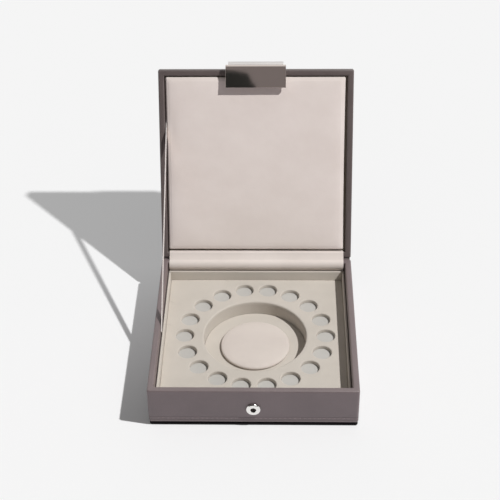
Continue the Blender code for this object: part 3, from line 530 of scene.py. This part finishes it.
# %% Lay the felt
FELT_INSET, FELT, FELT_ROUND = 0.0004, 0.0019, 0.0003
felt_edge = np.vstack([arc((FELT_ROUND, FELT_ROUND), FELT_ROUND, 270, 180, 3), [(0.0, FELT)]])
felt_rows = framed(felt_edge, HALF - FELT_INSET, HALF_DEEP - FELT_INSET, CORNER)
make_piece("felt_pad", [shell(felt_rows, capped=True)], felt, "base", ["plinth_pad"])

# %% [markdown]
# ## The stitches
# The stitches are short threads, each a little tube that dips into the leather at both ends. One stitch is
# worked out once and then set down at every station round the four sides, slightly aslant as a machine
# leaves them.

# %% Sew the foot
STITCH_LENGTH, STITCH_PITCH, STITCH_RADIUS, STITCH_Z = 0.0025, 0.0036, 0.00024, 0.0074
STITCH_SLANT, STITCH_MARGIN = 0.14, 0.004
along = np.linspace(-1, 1, 6)
bulge = np.sqrt(np.maximum(1 - along**2, 0.02))
turn = np.linspace(0, 2 * np.pi, 7)[:-1]
lengths = np.broadcast_to(along[:, None] * STITCH_LENGTH / 2, (6, 6))
outward = (bulge[:, None] * (np.cos(turn)[None] + 0.5) - 0.5) * STITCH_RADIUS
upward = bulge[:, None] * np.sin(turn)[None] * STITCH_RADIUS + STITCH_SLANT * lengths
stitch_count = int(2 * (HALF - STITCH_MARGIN) / STITCH_PITCH)
stations = (np.arange(stitch_count) - (stitch_count - 1) / 2) * STITCH_PITCH
up = np.array([0, 0, 1.0])
stitches = []
for side in range(4):
    angle = side * np.pi / 2
    forth = np.array([np.cos(angle), np.sin(angle), 0.0])
    out = np.array([np.sin(angle), -np.cos(angle), 0.0])
    stitch = lengths[..., None] * forth + outward[..., None] * out + upward[..., None] * up
    wall_place = out * (HALF_DEEP if side % 2 == 0 else HALF) + STITCH_Z * up
    stitches += [shell(stitch + (forth * station + wall_place), capped=True) for station in stations]
make_piece("foot_stitches", stitches, thread, "base")

# %% [markdown]
# ## The lining boards
# Four thin boards covered in suede stand inside the walls, with a dark groove behind them. Each is a bar
# with rolled edges, made by drawing loops in from its sides as they near the top and the bottom.

# %% Cover the lining boards
BOARD_ROLL = 0.00078


def soft_bar(low, high, roll):
    """A box with rolled edges: loops round its plan, drawn in along a quarter circle at either end."""
    low, high = np.array(low), np.array(high)
    middle, half = (low + high) / 2, (high - low) / 2
    bottom = arc((roll, low[2] + roll), roll, 270, 180, 4)
    top = arc((roll, high[2] - roll), roll, 180, 90, 4)
    rows = framed(np.vstack([bottom, top]), half[0], half[1], roll, corner_steps=3, side_steps=12)
    return rows + np.array([middle[0], middle[1], 0.0])


for side in ("front", "rear", "left", "right"):
    low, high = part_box(f"lining_board_{side}")
    covering = shell(soft_bar(low, high, BOARD_ROLL), capped=True)
    make_piece(f"lining_{side}", [covering], tray_suede, "base", [f"lining_board_{side}"])

# %% [markdown]
# ## The tray
# The tray is a board wrapped in suede that rolls down into eighteen wells and into the pit. A plain grid
# would cut the round edges into steps, so the tray is divided like a cake, one slice to each well. In
# each slice straight rays run from the well's edge to the slice's edge, and neighbouring slices share the
# points between them. Those points crowd together at the pit, where they have to follow the rolled edge.

# %% Lay the tray
TRAY_TOP, TRAY_UNDER = 0.0185, 0.0155
TRAY_HALF = np.array([0.0703, 0.0692])
PATTERN = np.array([0.0, 0.0017])
WELLS, WELL_RING, WELL, LIP = 18, 0.0552, 0.0072, 0.0009
PIT, PIT_ROLL, EDGE_ROLL = 0.0400, 0.0013, 0.0003
TINY = 1e-9


def reach_to_edge(angles):
    """How far a ray from the pattern's centre runs before it meets the tray's square edge."""
    unit = np.stack([np.cos(angles), np.sin(angles)], axis=-1)
    walls = np.where(unit > 0, TRAY_HALF - PATTERN, -TRAY_HALF - PATTERN)
    safe = np.where(np.abs(unit) < TINY, TINY, unit)
    return np.abs(walls / safe).min(axis=-1)


ARC_POINTS, SIDE_POINTS, EDGE_POINTS = 14, 16, 16
middles = 2 * np.pi * np.arange(WELLS) / WELLS
half_slice = np.pi / WELLS
inner_angles = middles[:, None] + np.linspace(-half_slice, half_slice, ARC_POINTS + 1)
outer_angles = middles[:, None] + np.linspace(-half_slice, half_slice, EDGE_POINTS + 1)
for sign_x, sign_y in ((1, 1), (-1, 1), (-1, -1), (1, -1)):
    across, ahead = np.array([sign_x, sign_y]) * TRAY_HALF - PATTERN
    corner_angle = np.arctan2(ahead, across) % (2 * np.pi)
    nearest = np.argmin(np.abs(outer_angles - corner_angle))
    outer_angles.flat[nearest] = corner_angle


def polar(radius, angles):
    """Points round the pattern's centre."""
    return PATTERN + radius[..., None] * np.stack([np.cos(angles), np.sin(angles)], axis=-1)


inner = polar(np.full(inner_angles.shape, PIT), inner_angles)
outer = polar(reach_to_edge(outer_angles), outer_angles)[:, ::-1]
share = ((np.arange(1, SIDE_POINTS) / SIDE_POINTS) ** 2)[None, :, None]
late_side = inner[:, -1:] * (1 - share) + outer[:, :1] * share
early_side = (inner[:, :1] * (1 - share) + outer[:, -1:] * share)[:, ::-1]
loop = np.concatenate([inner, late_side, outer, early_side], axis=1)
print("points round a slice:", loop.shape[1])

# %% [markdown]
# Along each ray the surface has these stretches: the underside, the well's wall, its rolled lip, the
# open top, and last the roll over the pit's edge or the tray's own edge. The height at the end of a
# ray falls along a quarter circle with the distance to the nearest real edge.

# %% Shape the rays and close the tray
well_centre = polar(np.full(WELLS, WELL_RING), middles)[:, None, :]
ray = loop - well_centre
ray_length = np.linalg.norm(ray, axis=-1, keepdims=True)
ray = ray / ray_length
lip = arc((WELL + LIP, TRAY_TOP - LIP), LIP, 180, 90, 7)


def fall(distance, roll):
    """How far the top has dropped at that distance from an edge with that roll."""
    inside = np.clip(roll - distance, 0, roll)
    return roll - np.sqrt(roll**2 - inside**2)


def top_height(points):
    """The height of the tray's top at each point, with a faint ripple."""
    to_pit = np.linalg.norm(points - PATTERN, axis=-1) - PIT
    to_edge = (TRAY_HALF - np.abs(points)).min(axis=-1)
    ripple = 0.00003 * np.sin(140 * points[..., 0] + 1.0) * np.sin(120 * points[..., 1] + 0.4)
    return TRAY_TOP + ripple - fall(to_pit, PIT_ROLL) - fall(to_edge, EDGE_ROLL)


def raised(points, height):
    """Points with their heights, which may be one number for all."""
    return np.concatenate([points, np.broadcast_to(height, points.shape[:2])[..., None]], axis=2)


OPEN_STEPS = (0.12, 0.3, 0.5, 0.7)
EDGE_STEPS = (0.0013, 0.0010, 0.0007, 0.00045, 0.00025, 0.0001, 0.0)
SHORT_RAY = 0.006
open_start = WELL + LIP
open_length = ray_length - open_start
reaches = [open_start + open_length * part for part in OPEN_STEPS]
reaches += [ray_length - back * open_length / SHORT_RAY for back in EDGE_STEPS]
tray_rows = [raised(loop, TRAY_UNDER), raised(well_centre + ray * WELL, TRAY_UNDER)]
tray_rows += [raised(well_centre + ray * radius, height) for radius, height in lip]
for reach in reaches:
    points = well_centre + ray * reach
    tray_rows.append(raised(points, top_height(points)))
tray_rows = np.stack(tray_rows, axis=1)
tray_shells = []
around = loop.shape[1]
rim_columns = np.concatenate([np.arange(ARC_POINTS), ARC_POINTS + SIDE_POINTS + np.arange(EDGE_POINTS)])
last = (tray_rows.shape[1] - 1) * around
for slice_rows in tray_rows:
    points, faces = shell(slice_rows)
    faces += [[last + k, last + (k + 1) % around, (k + 1) % around, k] for k in rim_columns]
    tray_shells.append((points, faces))
make_piece("tray", tray_shells, tray_suede, "base", ["tray_board"])

# %% [markdown]
# ## The pit and its pad
# Below the tray's rolled edge a tube lined with suede closes the pit, and a round padded disc stands in
# its middle. The disc is foam under suede: its side bulges, its top is crowned, and the cloth is pulled
# into faint folds round the edge where it is drawn under.

# %% Line the pit and stuff the disc
PIT_OUTSIDE, PIT_LOW, PIT_HIGH, PIT_STEPS = 0.0412, 0.0054, TRAY_UNDER - 0.0001, 128
pit_section = np.array([(PIT, PIT_LOW), (PIT_OUTSIDE, PIT_LOW), (PIT_OUTSIDE, PIT_HIGH), (PIT, PIT_HIGH)])
pit_tube = shell(turned(pit_section, PIT_STEPS, PATTERN), closed=True)
make_piece("pit_lining", [pit_tube], tray_suede, "base", ["pit_wall"])

PAD, PAD_LOW, PAD_HIGH, PAD_ROUND, PAD_STEPS = 0.0271, 0.0064, 0.0099, 0.0015, 180
FOLD_HEIGHT = 0.00005
bulge = arc((PAD - PAD_ROUND, PAD_LOW + PAD_ROUND), PAD_ROUND, -60, 80, 9)
bulge[:, 1] = PAD_LOW + (bulge[:, 1] - bulge[0, 1]) * 0.95
shoulder = bulge[-1, 1]
inward = np.linspace(0.94, 0.0, 14)[1:]
crown = np.column_stack([PAD * inward, shoulder + (PAD_HIGH - shoulder) * (1 - inward**4)])
disc = np.vstack([[(0.0, PAD_LOW), (PAD * 0.5, PAD_LOW)], bulge, crown])
disc_rows = turned(disc, PAD_STEPS, PATTERN)
angles = 2 * np.pi * np.arange(PAD_STEPS)[:, None] / PAD_STEPS
edge_share = np.clip((disc[None, :, 0] / PAD - 0.8) / 0.2, 0, 1)
folds = np.sin(23 * angles) + 0.6 * np.sin(41 * angles + 1.0)
disc_rows[..., 2] += FOLD_HEIGHT * folds * edge_share * (disc[None, :, 1] > PAD_LOW + 0.0005)
disc_shell = shell(disc_rows, closed=True)
pad = make_piece("centre_cushion", [disc_shell], cushion_suede, "base", ["centre_pad"])

# %% [markdown]
# ## The snap's socket
# The socket is a bright ring on the front wall with a dark hole. Its section is a rolled outer edge, a
# shallow dish and a rolled inner edge, and it is turned about its own axis before it is set upright.

# %% Turn the socket
SNAP_Z = 0.0172
SNAP_Y = -HALF_DEEP - 0.0003
RING, HOLE, RING_HIGH, RING_ROLL, HOLE_ROLL, RING_STEPS = 0.0054, 0.0020, 0.0013, 0.0011, 0.0005, 72
ring = np.vstack([
    [(HOLE, 0.0), (RING - 0.0002, 0.0)],
    arc((RING - RING_ROLL, RING_HIGH - 0.0012), RING_ROLL, 0, 96, 12),
    [(RING - 0.0016, RING_HIGH - 0.0002), (HOLE + 0.0010, RING_HIGH - 0.0003)],
    arc((HOLE + HOLE_ROLL, RING_HIGH - HOLE_ROLL), HOLE_ROLL, 80, 180, 8),
])
across, aside, high = np.moveaxis(turned(ring, RING_STEPS), -1, 0)
ring_shell = shell(np.stack([across, SNAP_Y - high, SNAP_Z + aside], axis=-1), closed=True)
make_piece("snap_ring", [ring_shell], snap_metal, "base", ["snap_socket"], sharp=70)

# %% [markdown]
# ## From the closed lid to the open one
# The lid's pieces are easiest to work out lying flat, as on the closed box, measured from the hinge line.
# This turns such points back about the hinge by the opening angle. The tab's pieces hang from a line of
# their own, so they are turned twice.

# %% Open the lid, hang the tab
HINGE = np.array([0.077, 0.0356])
LID_ANGLE = np.radians(-113)
TAB_LINE = np.array([-0.161, -0.0032])
TAB_ANGLE = np.radians(84.7)


def turn_about_x(points, angle, place):
    """Turns points about X, y' = y cos - z sin and z' = y sin + z cos, and then moves them to a place."""
    y, z = points[..., -2], points[..., -1]
    turned_y = y * np.cos(angle) - z * np.sin(angle) + place[0]
    turned_z = y * np.sin(angle) + z * np.cos(angle) + place[1]
    return np.stack([*np.moveaxis(points, -1, 0)[:-2], turned_y, turned_z], axis=-1)


def open_lid(points):
    """Points of the lid that lies flat, carried to the open lid."""
    return turn_about_x(points, LID_ANGLE, HINGE)


def hang_tab(points):
    """Points of the tab that hangs straight down, carried to the open lid's tab."""
    return open_lid(turn_about_x(points, TAB_ANGLE, TAB_LINE))


print("lid open by", round(-np.degrees(LID_ANGLE)), "degrees")

# %% [markdown]
# ## The leather of the lid
# The lid's cover starts in the middle of its outer face, rolls over the edge, comes down the side, turns
# round the rim and ends in the groove round the lining. The outer face is very slightly crowned, because
# the board under it is padded with paper.

# %% Wrap the lid
LID_REACH, LID_DEPTH, LID_RIM, LID_Z = 0.154, 0.008, 0.0048, 0.0006
LID_ROLL, LID_CORNER, LID_TURN_IN = 0.002, 0.0012, 0.0044
CROWN, CROWN_REACH = 0.0003, 0.006
top = LID_Z + LID_DEPTH
face_insets = np.array([0.07, 0.05, 0.034, 0.022, 0.014, 0.009, 0.006, 0.0045])
face = np.column_stack([face_insets, top - CROWN * np.exp(-(face_insets - LID_ROLL) / CROWN_REACH)])
edge = arc((LID_ROLL, top - LID_ROLL), LID_ROLL, 90, 180, 10)
edge[:, 1] -= CROWN * np.maximum(1 - (top - edge[:, 1]) / 0.001, 0)
lid_path = np.vstack([
    face,
    edge,
    arc((RIM_ROUND, LID_Z + RIM_ROUND), RIM_ROUND, 180, 270),
    arc((LID_RIM - RIM_ROUND, LID_Z + RIM_ROUND), RIM_ROUND, 270, 360),
    [(LID_RIM, LID_Z + LID_TURN_IN)],
])
lid_rows = framed(sheet_outline(lid_path, -LEATHER), HALF, LID_REACH / 2, LID_CORNER)
lid_rows = open_lid(lid_rows - np.array([0, LID_REACH / 2, 0]))
make_piece("lid_cover", [shell(lid_rows, capped=True)], lid_leather, "lid", ["lid_leather"])

# %% [markdown]
# ## The padded lining of the lid
# The panel is suede over thin foam on card. It is flat in the middle and falls away softly towards its
# edges, where the cloth is pulled round. Slow undulations keep it from looking like a plate, and a dent
# shows where the ribbon is tucked in beside it.

# %% Pad the lid
PANEL_X, PANEL_Y = 0.07145, 0.0707
PANEL_MIDDLE = np.array([-0.00035, -0.0775, 0.0])
PANEL_BACK, PANEL_FRONT, PANEL_CORNER = 0.0034, 0.0003, 0.0013
PANEL_ROLL = np.array([0.0026, 0.0017])
SOFT_FALL, SOFT_REACH = 0.0009, 0.0034
WAVES, DENT, PULL = 0.00009, 0.0006, 0.0004
DENT_X, DENT_Y = -0.0690, -0.0290

roll = arc((0, 0), 1, 180, 262, 10) * PANEL_ROLL + (PANEL_ROLL[0], PANEL_FRONT + SOFT_FALL + PANEL_ROLL[1])
near_edge = [0.0027, 0.0032, 0.0038, 0.005, 0.0065, 0.0085, 0.011, 0.014]
insets = np.array([*near_edge, 0.018, 0.023, 0.029, 0.036, 0.044, 0.052, 0.060])
panel = np.vstack([
    [(0.0008, PANEL_BACK), (0.0002, PANEL_BACK - 0.0001), (0.0, PANEL_BACK - 0.0004)],
    roll,
    np.column_stack([insets, PANEL_FRONT + SOFT_FALL * np.exp(-(insets - 0.0015) / SOFT_REACH)]),
])
panel_rows = framed(panel, PANEL_X, PANEL_Y, PANEL_CORNER, side_steps=48)
x, y = panel_rows[..., 0], panel_rows[..., 1]
facing = np.clip((panel[:, 0] - 0.0008) / 0.004, 0, 1)[:, None]
waves = np.sin(52 * x + 0.7) * np.sin(47 * y + 1.9) + 0.5 * np.sin(95 * x - 61 * y)
dent = np.exp(-(((x - DENT_X) / 0.0045) ** 2) - ((y - DENT_Y) / 0.0085) ** 2)
panel_rows[..., 2] += facing * (WAVES * waves + DENT * dent)
panel_rows[..., 0] -= PULL * (1 - (y / PANEL_Y) ** 2) * np.sign(x) * (np.abs(x) / PANEL_X) ** 8
panel_shell = shell(open_lid(panel_rows + PANEL_MIDDLE), capped=True)
lining = make_piece("lid_lining", [panel_shell], lid_suede, "lid", ["lid_pad"], sharp=80)

# %% [markdown]
# ## The hinge
# Inside, a strip of the lining cloth is glued over both rims and carries the crease between them.
# Outside, a strip of leather does the same at the back. Each is a thin sheet whose section bends from
# the base to the lid.
# The cloth puffs out over the base's rim, so its section there is a stretch of an ellipse.

# %% Fold the hinge cloth
def smooth_fold(before, fold, after, radius, steps=8):
    """A curve that leaves the line to the fold before it and joins the line after it."""
    start = fold + (before - fold) / np.linalg.norm(before - fold) * radius
    end = fold + (after - fold) / np.linalg.norm(after - fold) * radius
    t = np.linspace(0, 1, steps + 1)[:, None]
    return start * (1 - t) ** 2 + fold * 2 * t * (1 - t) + end * t**2


def flat(y, z):
    """One point of the lid that lies flat, carried to the open lid."""
    return open_lid(np.array([y, z]))


CLOTH, CLOTH_GAP, CLOTH_ROUND, CLOTH_HALF = 0.0003, 0.0002, 0.0018, HALF - 0.0062
PUFF = np.array([0.003, 0.004])
above = CLOTH + CLOTH_GAP
base_inner, lid_inner, level = HALF_DEEP - WALL - above, -LID_RIM - above, RIM_Z + above
base_bend = arc((0, 0), 1, 235, 90, 16) * PUFF + (base_inner + 0.0014, level - PUFF[1])
lid_bend = open_lid(arc((lid_inner + CLOTH_ROUND, LID_Z - above + CLOTH_ROUND), CLOTH_ROUND, 270, 180))
cloth_fold = np.array([HALF_DEEP - 0.0026, level])
cloth_path = np.vstack([
    [(base_inner, RIM_Z - 0.0105), (base_inner, RIM_Z - 0.0080)],
    base_bend,
    smooth_fold(base_bend[-1], cloth_fold, lid_bend[0], 0.0006),
    lid_bend,
    [flat(lid_inner, LID_Z + LID_TURN_IN)],
])
cloth_rows = along_x(sheet_outline(cloth_path, CLOTH), np.linspace(-CLOTH_HALF, CLOTH_HALF, 61))
cloth_shell = shell(cloth_rows, capped=True)
hinge_cloth = make_piece("hinge_lining", [cloth_shell], hinge_suede, None, ["hinge_cloth"])
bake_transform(hinge_cloth)

# %% [markdown]
# The leather outside runs straight up the back wall and straight on along the lid. The fold lies where
# those two lines cross, and the sheet is rounded there.

# %% Fold the hinge leather
def crossing(first, first_along, second, second_along):
    """Where two straight lines cross."""
    reach = np.linalg.solve(np.column_stack([first_along, -second_along]), second - first)
    return first + first_along * reach[0]


SPINE, SPINE_GAP, SPINE_HALF = 0.0006, 0.00045, HALF - 0.0008
out = SPINE + SPINE_GAP
lid_down = flat(0, 1) - flat(0, 0)
spine_low, spine_end = np.array([HALF_DEEP + out, RIM_Z - 0.012]), flat(out, 0.0064)
spine_fold = crossing(np.array([HALF_DEEP + out, HINGE[1]]), np.array([0.0, 1.0]), flat(out, 0), lid_down)
spine_path = np.vstack([[spine_low], smooth_fold(spine_low, spine_fold, spine_end, 0.001), [spine_end]])
spine_rows = along_x(sheet_outline(spine_path[::-1], SPINE), np.linspace(-SPINE_HALF, SPINE_HALF, 61))
spine_shell = shell(spine_rows, capped=True)
spine = make_piece("hinge_leather", [spine_shell], lid_leather, None, ["hinge_spine"])
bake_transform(spine)

# %% [markdown]
# ## The ribbon
# A woven ribbon on the left stops the lid. It is pulled tight, flat against the side, from the groove in
# the lid to the groove in the base. It is a long thin strip in many short steps.

# %% Stretch the ribbon
RIBBON, RIBBON_THICK, RIBBON_X, RIBBON_STEPS = 0.0055, 0.0004, -0.0722, 90
TUCKED_IN, FREE_SHARE = 0.001, 0.88
lid_end = flat(-0.106, LID_Z + 0.0024)
base_end = np.array([-0.0068, RIM_Z - 0.0046])
pull = (lid_end - base_end) / np.linalg.norm(lid_end - base_end)
line_start = base_end - pull * TUCKED_IN
aside = np.array([-pull[1], pull[0]]) * RIBBON / 2
lid_cut, lid_along = flat(0, LID_Z + 0.004), flat(-1, 0) - flat(0, 0)
section = np.array([(-1, 0), (-0.5, 0), (0.5, 0), (1, 0), (1, 1), (0.5, 1), (-0.5, 1), (-1, 1)])
starts = line_start + section[:, :1] * aside
ends = np.array([crossing(corner, pull, lid_cut, lid_along) for corner in starts])
ribbon_length = np.linalg.norm(ends - starts, axis=1).max()
yz = starts + np.linspace(0, 1, RIBBON_STEPS + 1)[:, None, None] * (ends - starts)
x = np.broadcast_to(RIBBON_X + section[None, :, 1:] * RIBBON_THICK, (*yz.shape[:2], 1))
ribbon_rows = np.concatenate([x, yz], axis=2)
stay = make_piece("ribbon", [shell(ribbon_rows, capped=True)], ribbon, None, ["ribbon_stay"])
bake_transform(stay)
print("ribbon", round(1000 * ribbon_length, 1), "mm")

# %% [markdown]
# ## The strap
# A pale leather strap is glued to the lid's front wall. It rises over a soft arch and goes down behind
# the metal plate. Its line is two curves that meet on the crest.

# %% Bend the strap
STRAP, STRAP_THICK = 0.0434, 0.0012
FACE_OUT, FACE_DROP, PLATE_HEIGHT, CURL = 0.00146, 0.0041, 0.0163, 0.0016
STRAP_FRONT = -FACE_OUT + CURL + 0.0003


def curve(a, b, c, d, steps=14):
    """A cubic curve from a to d, with b and c as its handles."""
    t = np.linspace(0, 1, steps, endpoint=False)[:, None]
    return a * (1 - t) ** 3 + b * 3 * t * (1 - t) ** 2 + c * 3 * t**2 * (1 - t) + d * t**3


def folded(y, z):
    """One point of a tab that hangs straight down, carried to the tab of the flat lid."""
    return turn_about_x(np.array([y, z]), TAB_ANGLE, TAB_LINE)


wall = -LID_REACH - 0.0003 - STRAP_THICK
root, leaves = np.array([wall, LID_Z + 0.0066]), np.array([wall, LID_Z + 0.0050])
crest = np.array([-LID_REACH - 0.0065, LID_Z + 0.0004])
enters = folded(STRAP_FRONT, -FACE_DROP + CURL)
foot = folded(STRAP_FRONT, -FACE_DROP - PLATE_HEIGHT + 0.001)
rise, drop = (leaves[1] - crest[1]) / 2, (crest[1] - enters[1]) / 2
inward = (enters - foot) / np.linalg.norm(enters - foot) * drop
over = curve(leaves, leaves - [0, rise], crest + [0, rise / 2], crest)
under = curve(crest, crest - [0, drop * 0.75], enters + inward, enters)
hidden = enters + (foot - enters) * np.linspace(0.2, 1, 6)[:, None]
strap_path = np.vstack([[root], over, under, [enters], hidden])
strap_rows = along_x(sheet_outline(strap_path, -STRAP_THICK), np.linspace(-STRAP / 2, STRAP / 2, 31))
strap_shell = shell(open_lid(strap_rows), capped=True)
strap = make_piece("strap", [strap_shell], pale_leather, None, ["tab_strap"])
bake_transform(strap)

# %% [markdown]
# ## The plate
# The strap's end wears a cap of polished metal: a flat face, a top edge that curls back over the strap
# and a cheek at either end. The face and its curl are one bent sheet, and each cheek is a thin slice of
# the same outline. A fine bevel gives every edge its bright line.

# %% Bend the plate
PLATE, SHEET, CHEEK, CHEEK_ROUND = 0.0475, 0.0008, 0.0026, 0.0006
plate_top, plate_low = -FACE_DROP, -FACE_DROP - PLATE_HEIGHT
face_line = np.column_stack([np.full(8, -FACE_OUT), np.linspace(plate_low, plate_top, 8, endpoint=False)])
curl = arc((-FACE_OUT + CURL, plate_top), CURL, 180, 90, 14)
bent = np.vstack([face_line, curl])
bent_half = (PLATE - SHEET) / 2
bent_rows = along_x(sheet_outline(bent, SHEET), np.linspace(-bent_half, bent_half, 13))
cheek_bend = -FACE_OUT + CHEEK - CHEEK_ROUND
cheek_outline = np.vstack([
    bent,
    arc((cheek_bend, curl[-1, 1] - CHEEK_ROUND), CHEEK_ROUND, 90, 0, 5),
    arc((cheek_bend, plate_low + CHEEK_ROUND), CHEEK_ROUND, 0, -90, 5),
])
cheek_ends = np.array([PLATE / 2 - SHEET, PLATE / 2])
cheeks = [along_x(cheek_outline, ends) for ends in (-cheek_ends[::-1], cheek_ends)]
plate_shells = [shell(hang_tab(rows), capped=True) for rows in (bent_rows, *cheeks)]
plate = make_piece("plate", plate_shells, plate_metal, "tab", ["tab_plate"], sharp=35)
bright_edge = plate.modifiers.new("bright_edge", "BEVEL")
bright_edge.width = 0.00038
bright_edge.segments = 3
bright_edge.limit_method = "ANGLE"
bright_edge.angle_limit = np.radians(40)

# %% [markdown]
# ## What the plate mirrors
# A flat mirror needs something to show. The plate faces the camera, so it shows the dim room behind it
# and, low on the left, something black. Two cards that only reflections can see stand in for them. Their
# corners are found by sending rays from the camera to the plate and on from there. Two more, the far wall
# and a small card over the snap, darken the upper side of the snap's ring.

# %% Stand the cards behind the camera
plate_normal = hang_tab(np.array([0, -1.0, 0])) - hang_tab(np.zeros(3))


def mirrored(spots, distance):
    """Where rays from the camera by way of the plate end, after that distance from it.

    spots are points of the plate's face, in mm across and down from its top.
    """
    across, down = np.array(spots).T / 1000
    spots = hang_tab(np.column_stack([across, np.full(across.shape, -FACE_OUT), plate_top - down]))
    rays = spots - CAMERA_PLACE
    rays /= np.linalg.norm(rays, axis=1)[:, None]
    rays -= 2 * (rays @ plate_normal)[:, None] * plate_normal
    return spots + rays * distance


def make_card(name, corners, shade):
    """A flat card that gives off an even shade and is seen by mirrored rays only."""
    material = bpy.data.materials.new(name)
    material.use_nodes = True
    nodes = material.node_tree.nodes
    nodes.remove(nodes["Principled BSDF"])
    glow = add(material, "ShaderNodeEmission", {"Color": (*shade, 1)}).outputs[0]
    material.node_tree.links.new(glow, nodes["Material Output"].inputs["Surface"])
    mesh = bpy.data.meshes.new(name)
    mesh.from_pydata([tuple(corner) for corner in corners], [], [list(range(len(corners)))])
    mesh.materials.append(material)
    board = bpy.data.objects.new(name, mesh)
    board.visible_camera = False
    board.visible_diffuse = False
    board.visible_shadow = False
    bpy.context.scene.collection.objects.link(board)
    board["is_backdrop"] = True


BLACK_AWAY, ROOM_AWAY, WALL_Y, SNAP_CARD_Z = 0.94, 0.97, -1.5, 0.075
black_outline = [(-60, 2.0), (-23.8, 2.4), (-15.6, 3.2), (-6.4, 4.9), (-4.4, 8.7)]
black_outline += [(-3.2, 11.8), (-0.4, 14.6), (0.2, 16.6), (0.4, 40), (-60, 40)]
room_outline = [(-190, -120), (190, -120), (190, 150), (-190, 150)]
wall_outline = [(-1.6, WALL_Y, 0.02), (1.6, WALL_Y, 0.02), (1.6, WALL_Y, 2.2), (-1.6, WALL_Y, 2.2)]
over_snap = [(-0.20, -0.24), (0.20, -0.24), (0.20, -0.076), (-0.20, -0.076)]
make_card("black_card", mirrored(black_outline, BLACK_AWAY), (0.032, 0.034, 0.033))
make_card("room_card", mirrored(room_outline, ROOM_AWAY), (0.242, 0.222, 0.224))
make_card("wall_card", wall_outline, (0.055, 0.05, 0.046))
make_card("snap_card", [(x, y, SNAP_CARD_Z) for x, y in over_snap], (0.03, 0.027, 0.025))
print("plate faces", plate_normal.round(3))

# %% [markdown]
# ## Finishes for the solids that stay
# The solids that are already the right shape keep their place and only get a finish. Most of them are
# hidden boards of grey card.

# %% Dress the remaining nodes
dressing = {
    "pit_floor": tray_suede,
    "well_floor": well_suede,
    "socket_rivet": hole_shade_metal,
    "snap_stud": snap_metal,
    "stud_rivet": snap_metal,
}
for name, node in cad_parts.items():
    node.data.materials.clear()
    node.data.materials.append(dressing.get(name, card))
print("dressed", len(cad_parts), "nodes,", len(dressing), "of them not in card")

# %% [markdown]
# ## Measure and finish
# The finished model has to fill the same box as the solids it began with. The sizes of both boxes are
# printed.

# %% Compare the boxes
model_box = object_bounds()
boxes = {"cad": [list(corner) for corner in cad_box], "model": [list(corner) for corner in model_box]}
for name, (low, high) in boxes.items():
    print(name, [round(1000 * (b - a), 1) for a, b in zip(low, high)], "mm")
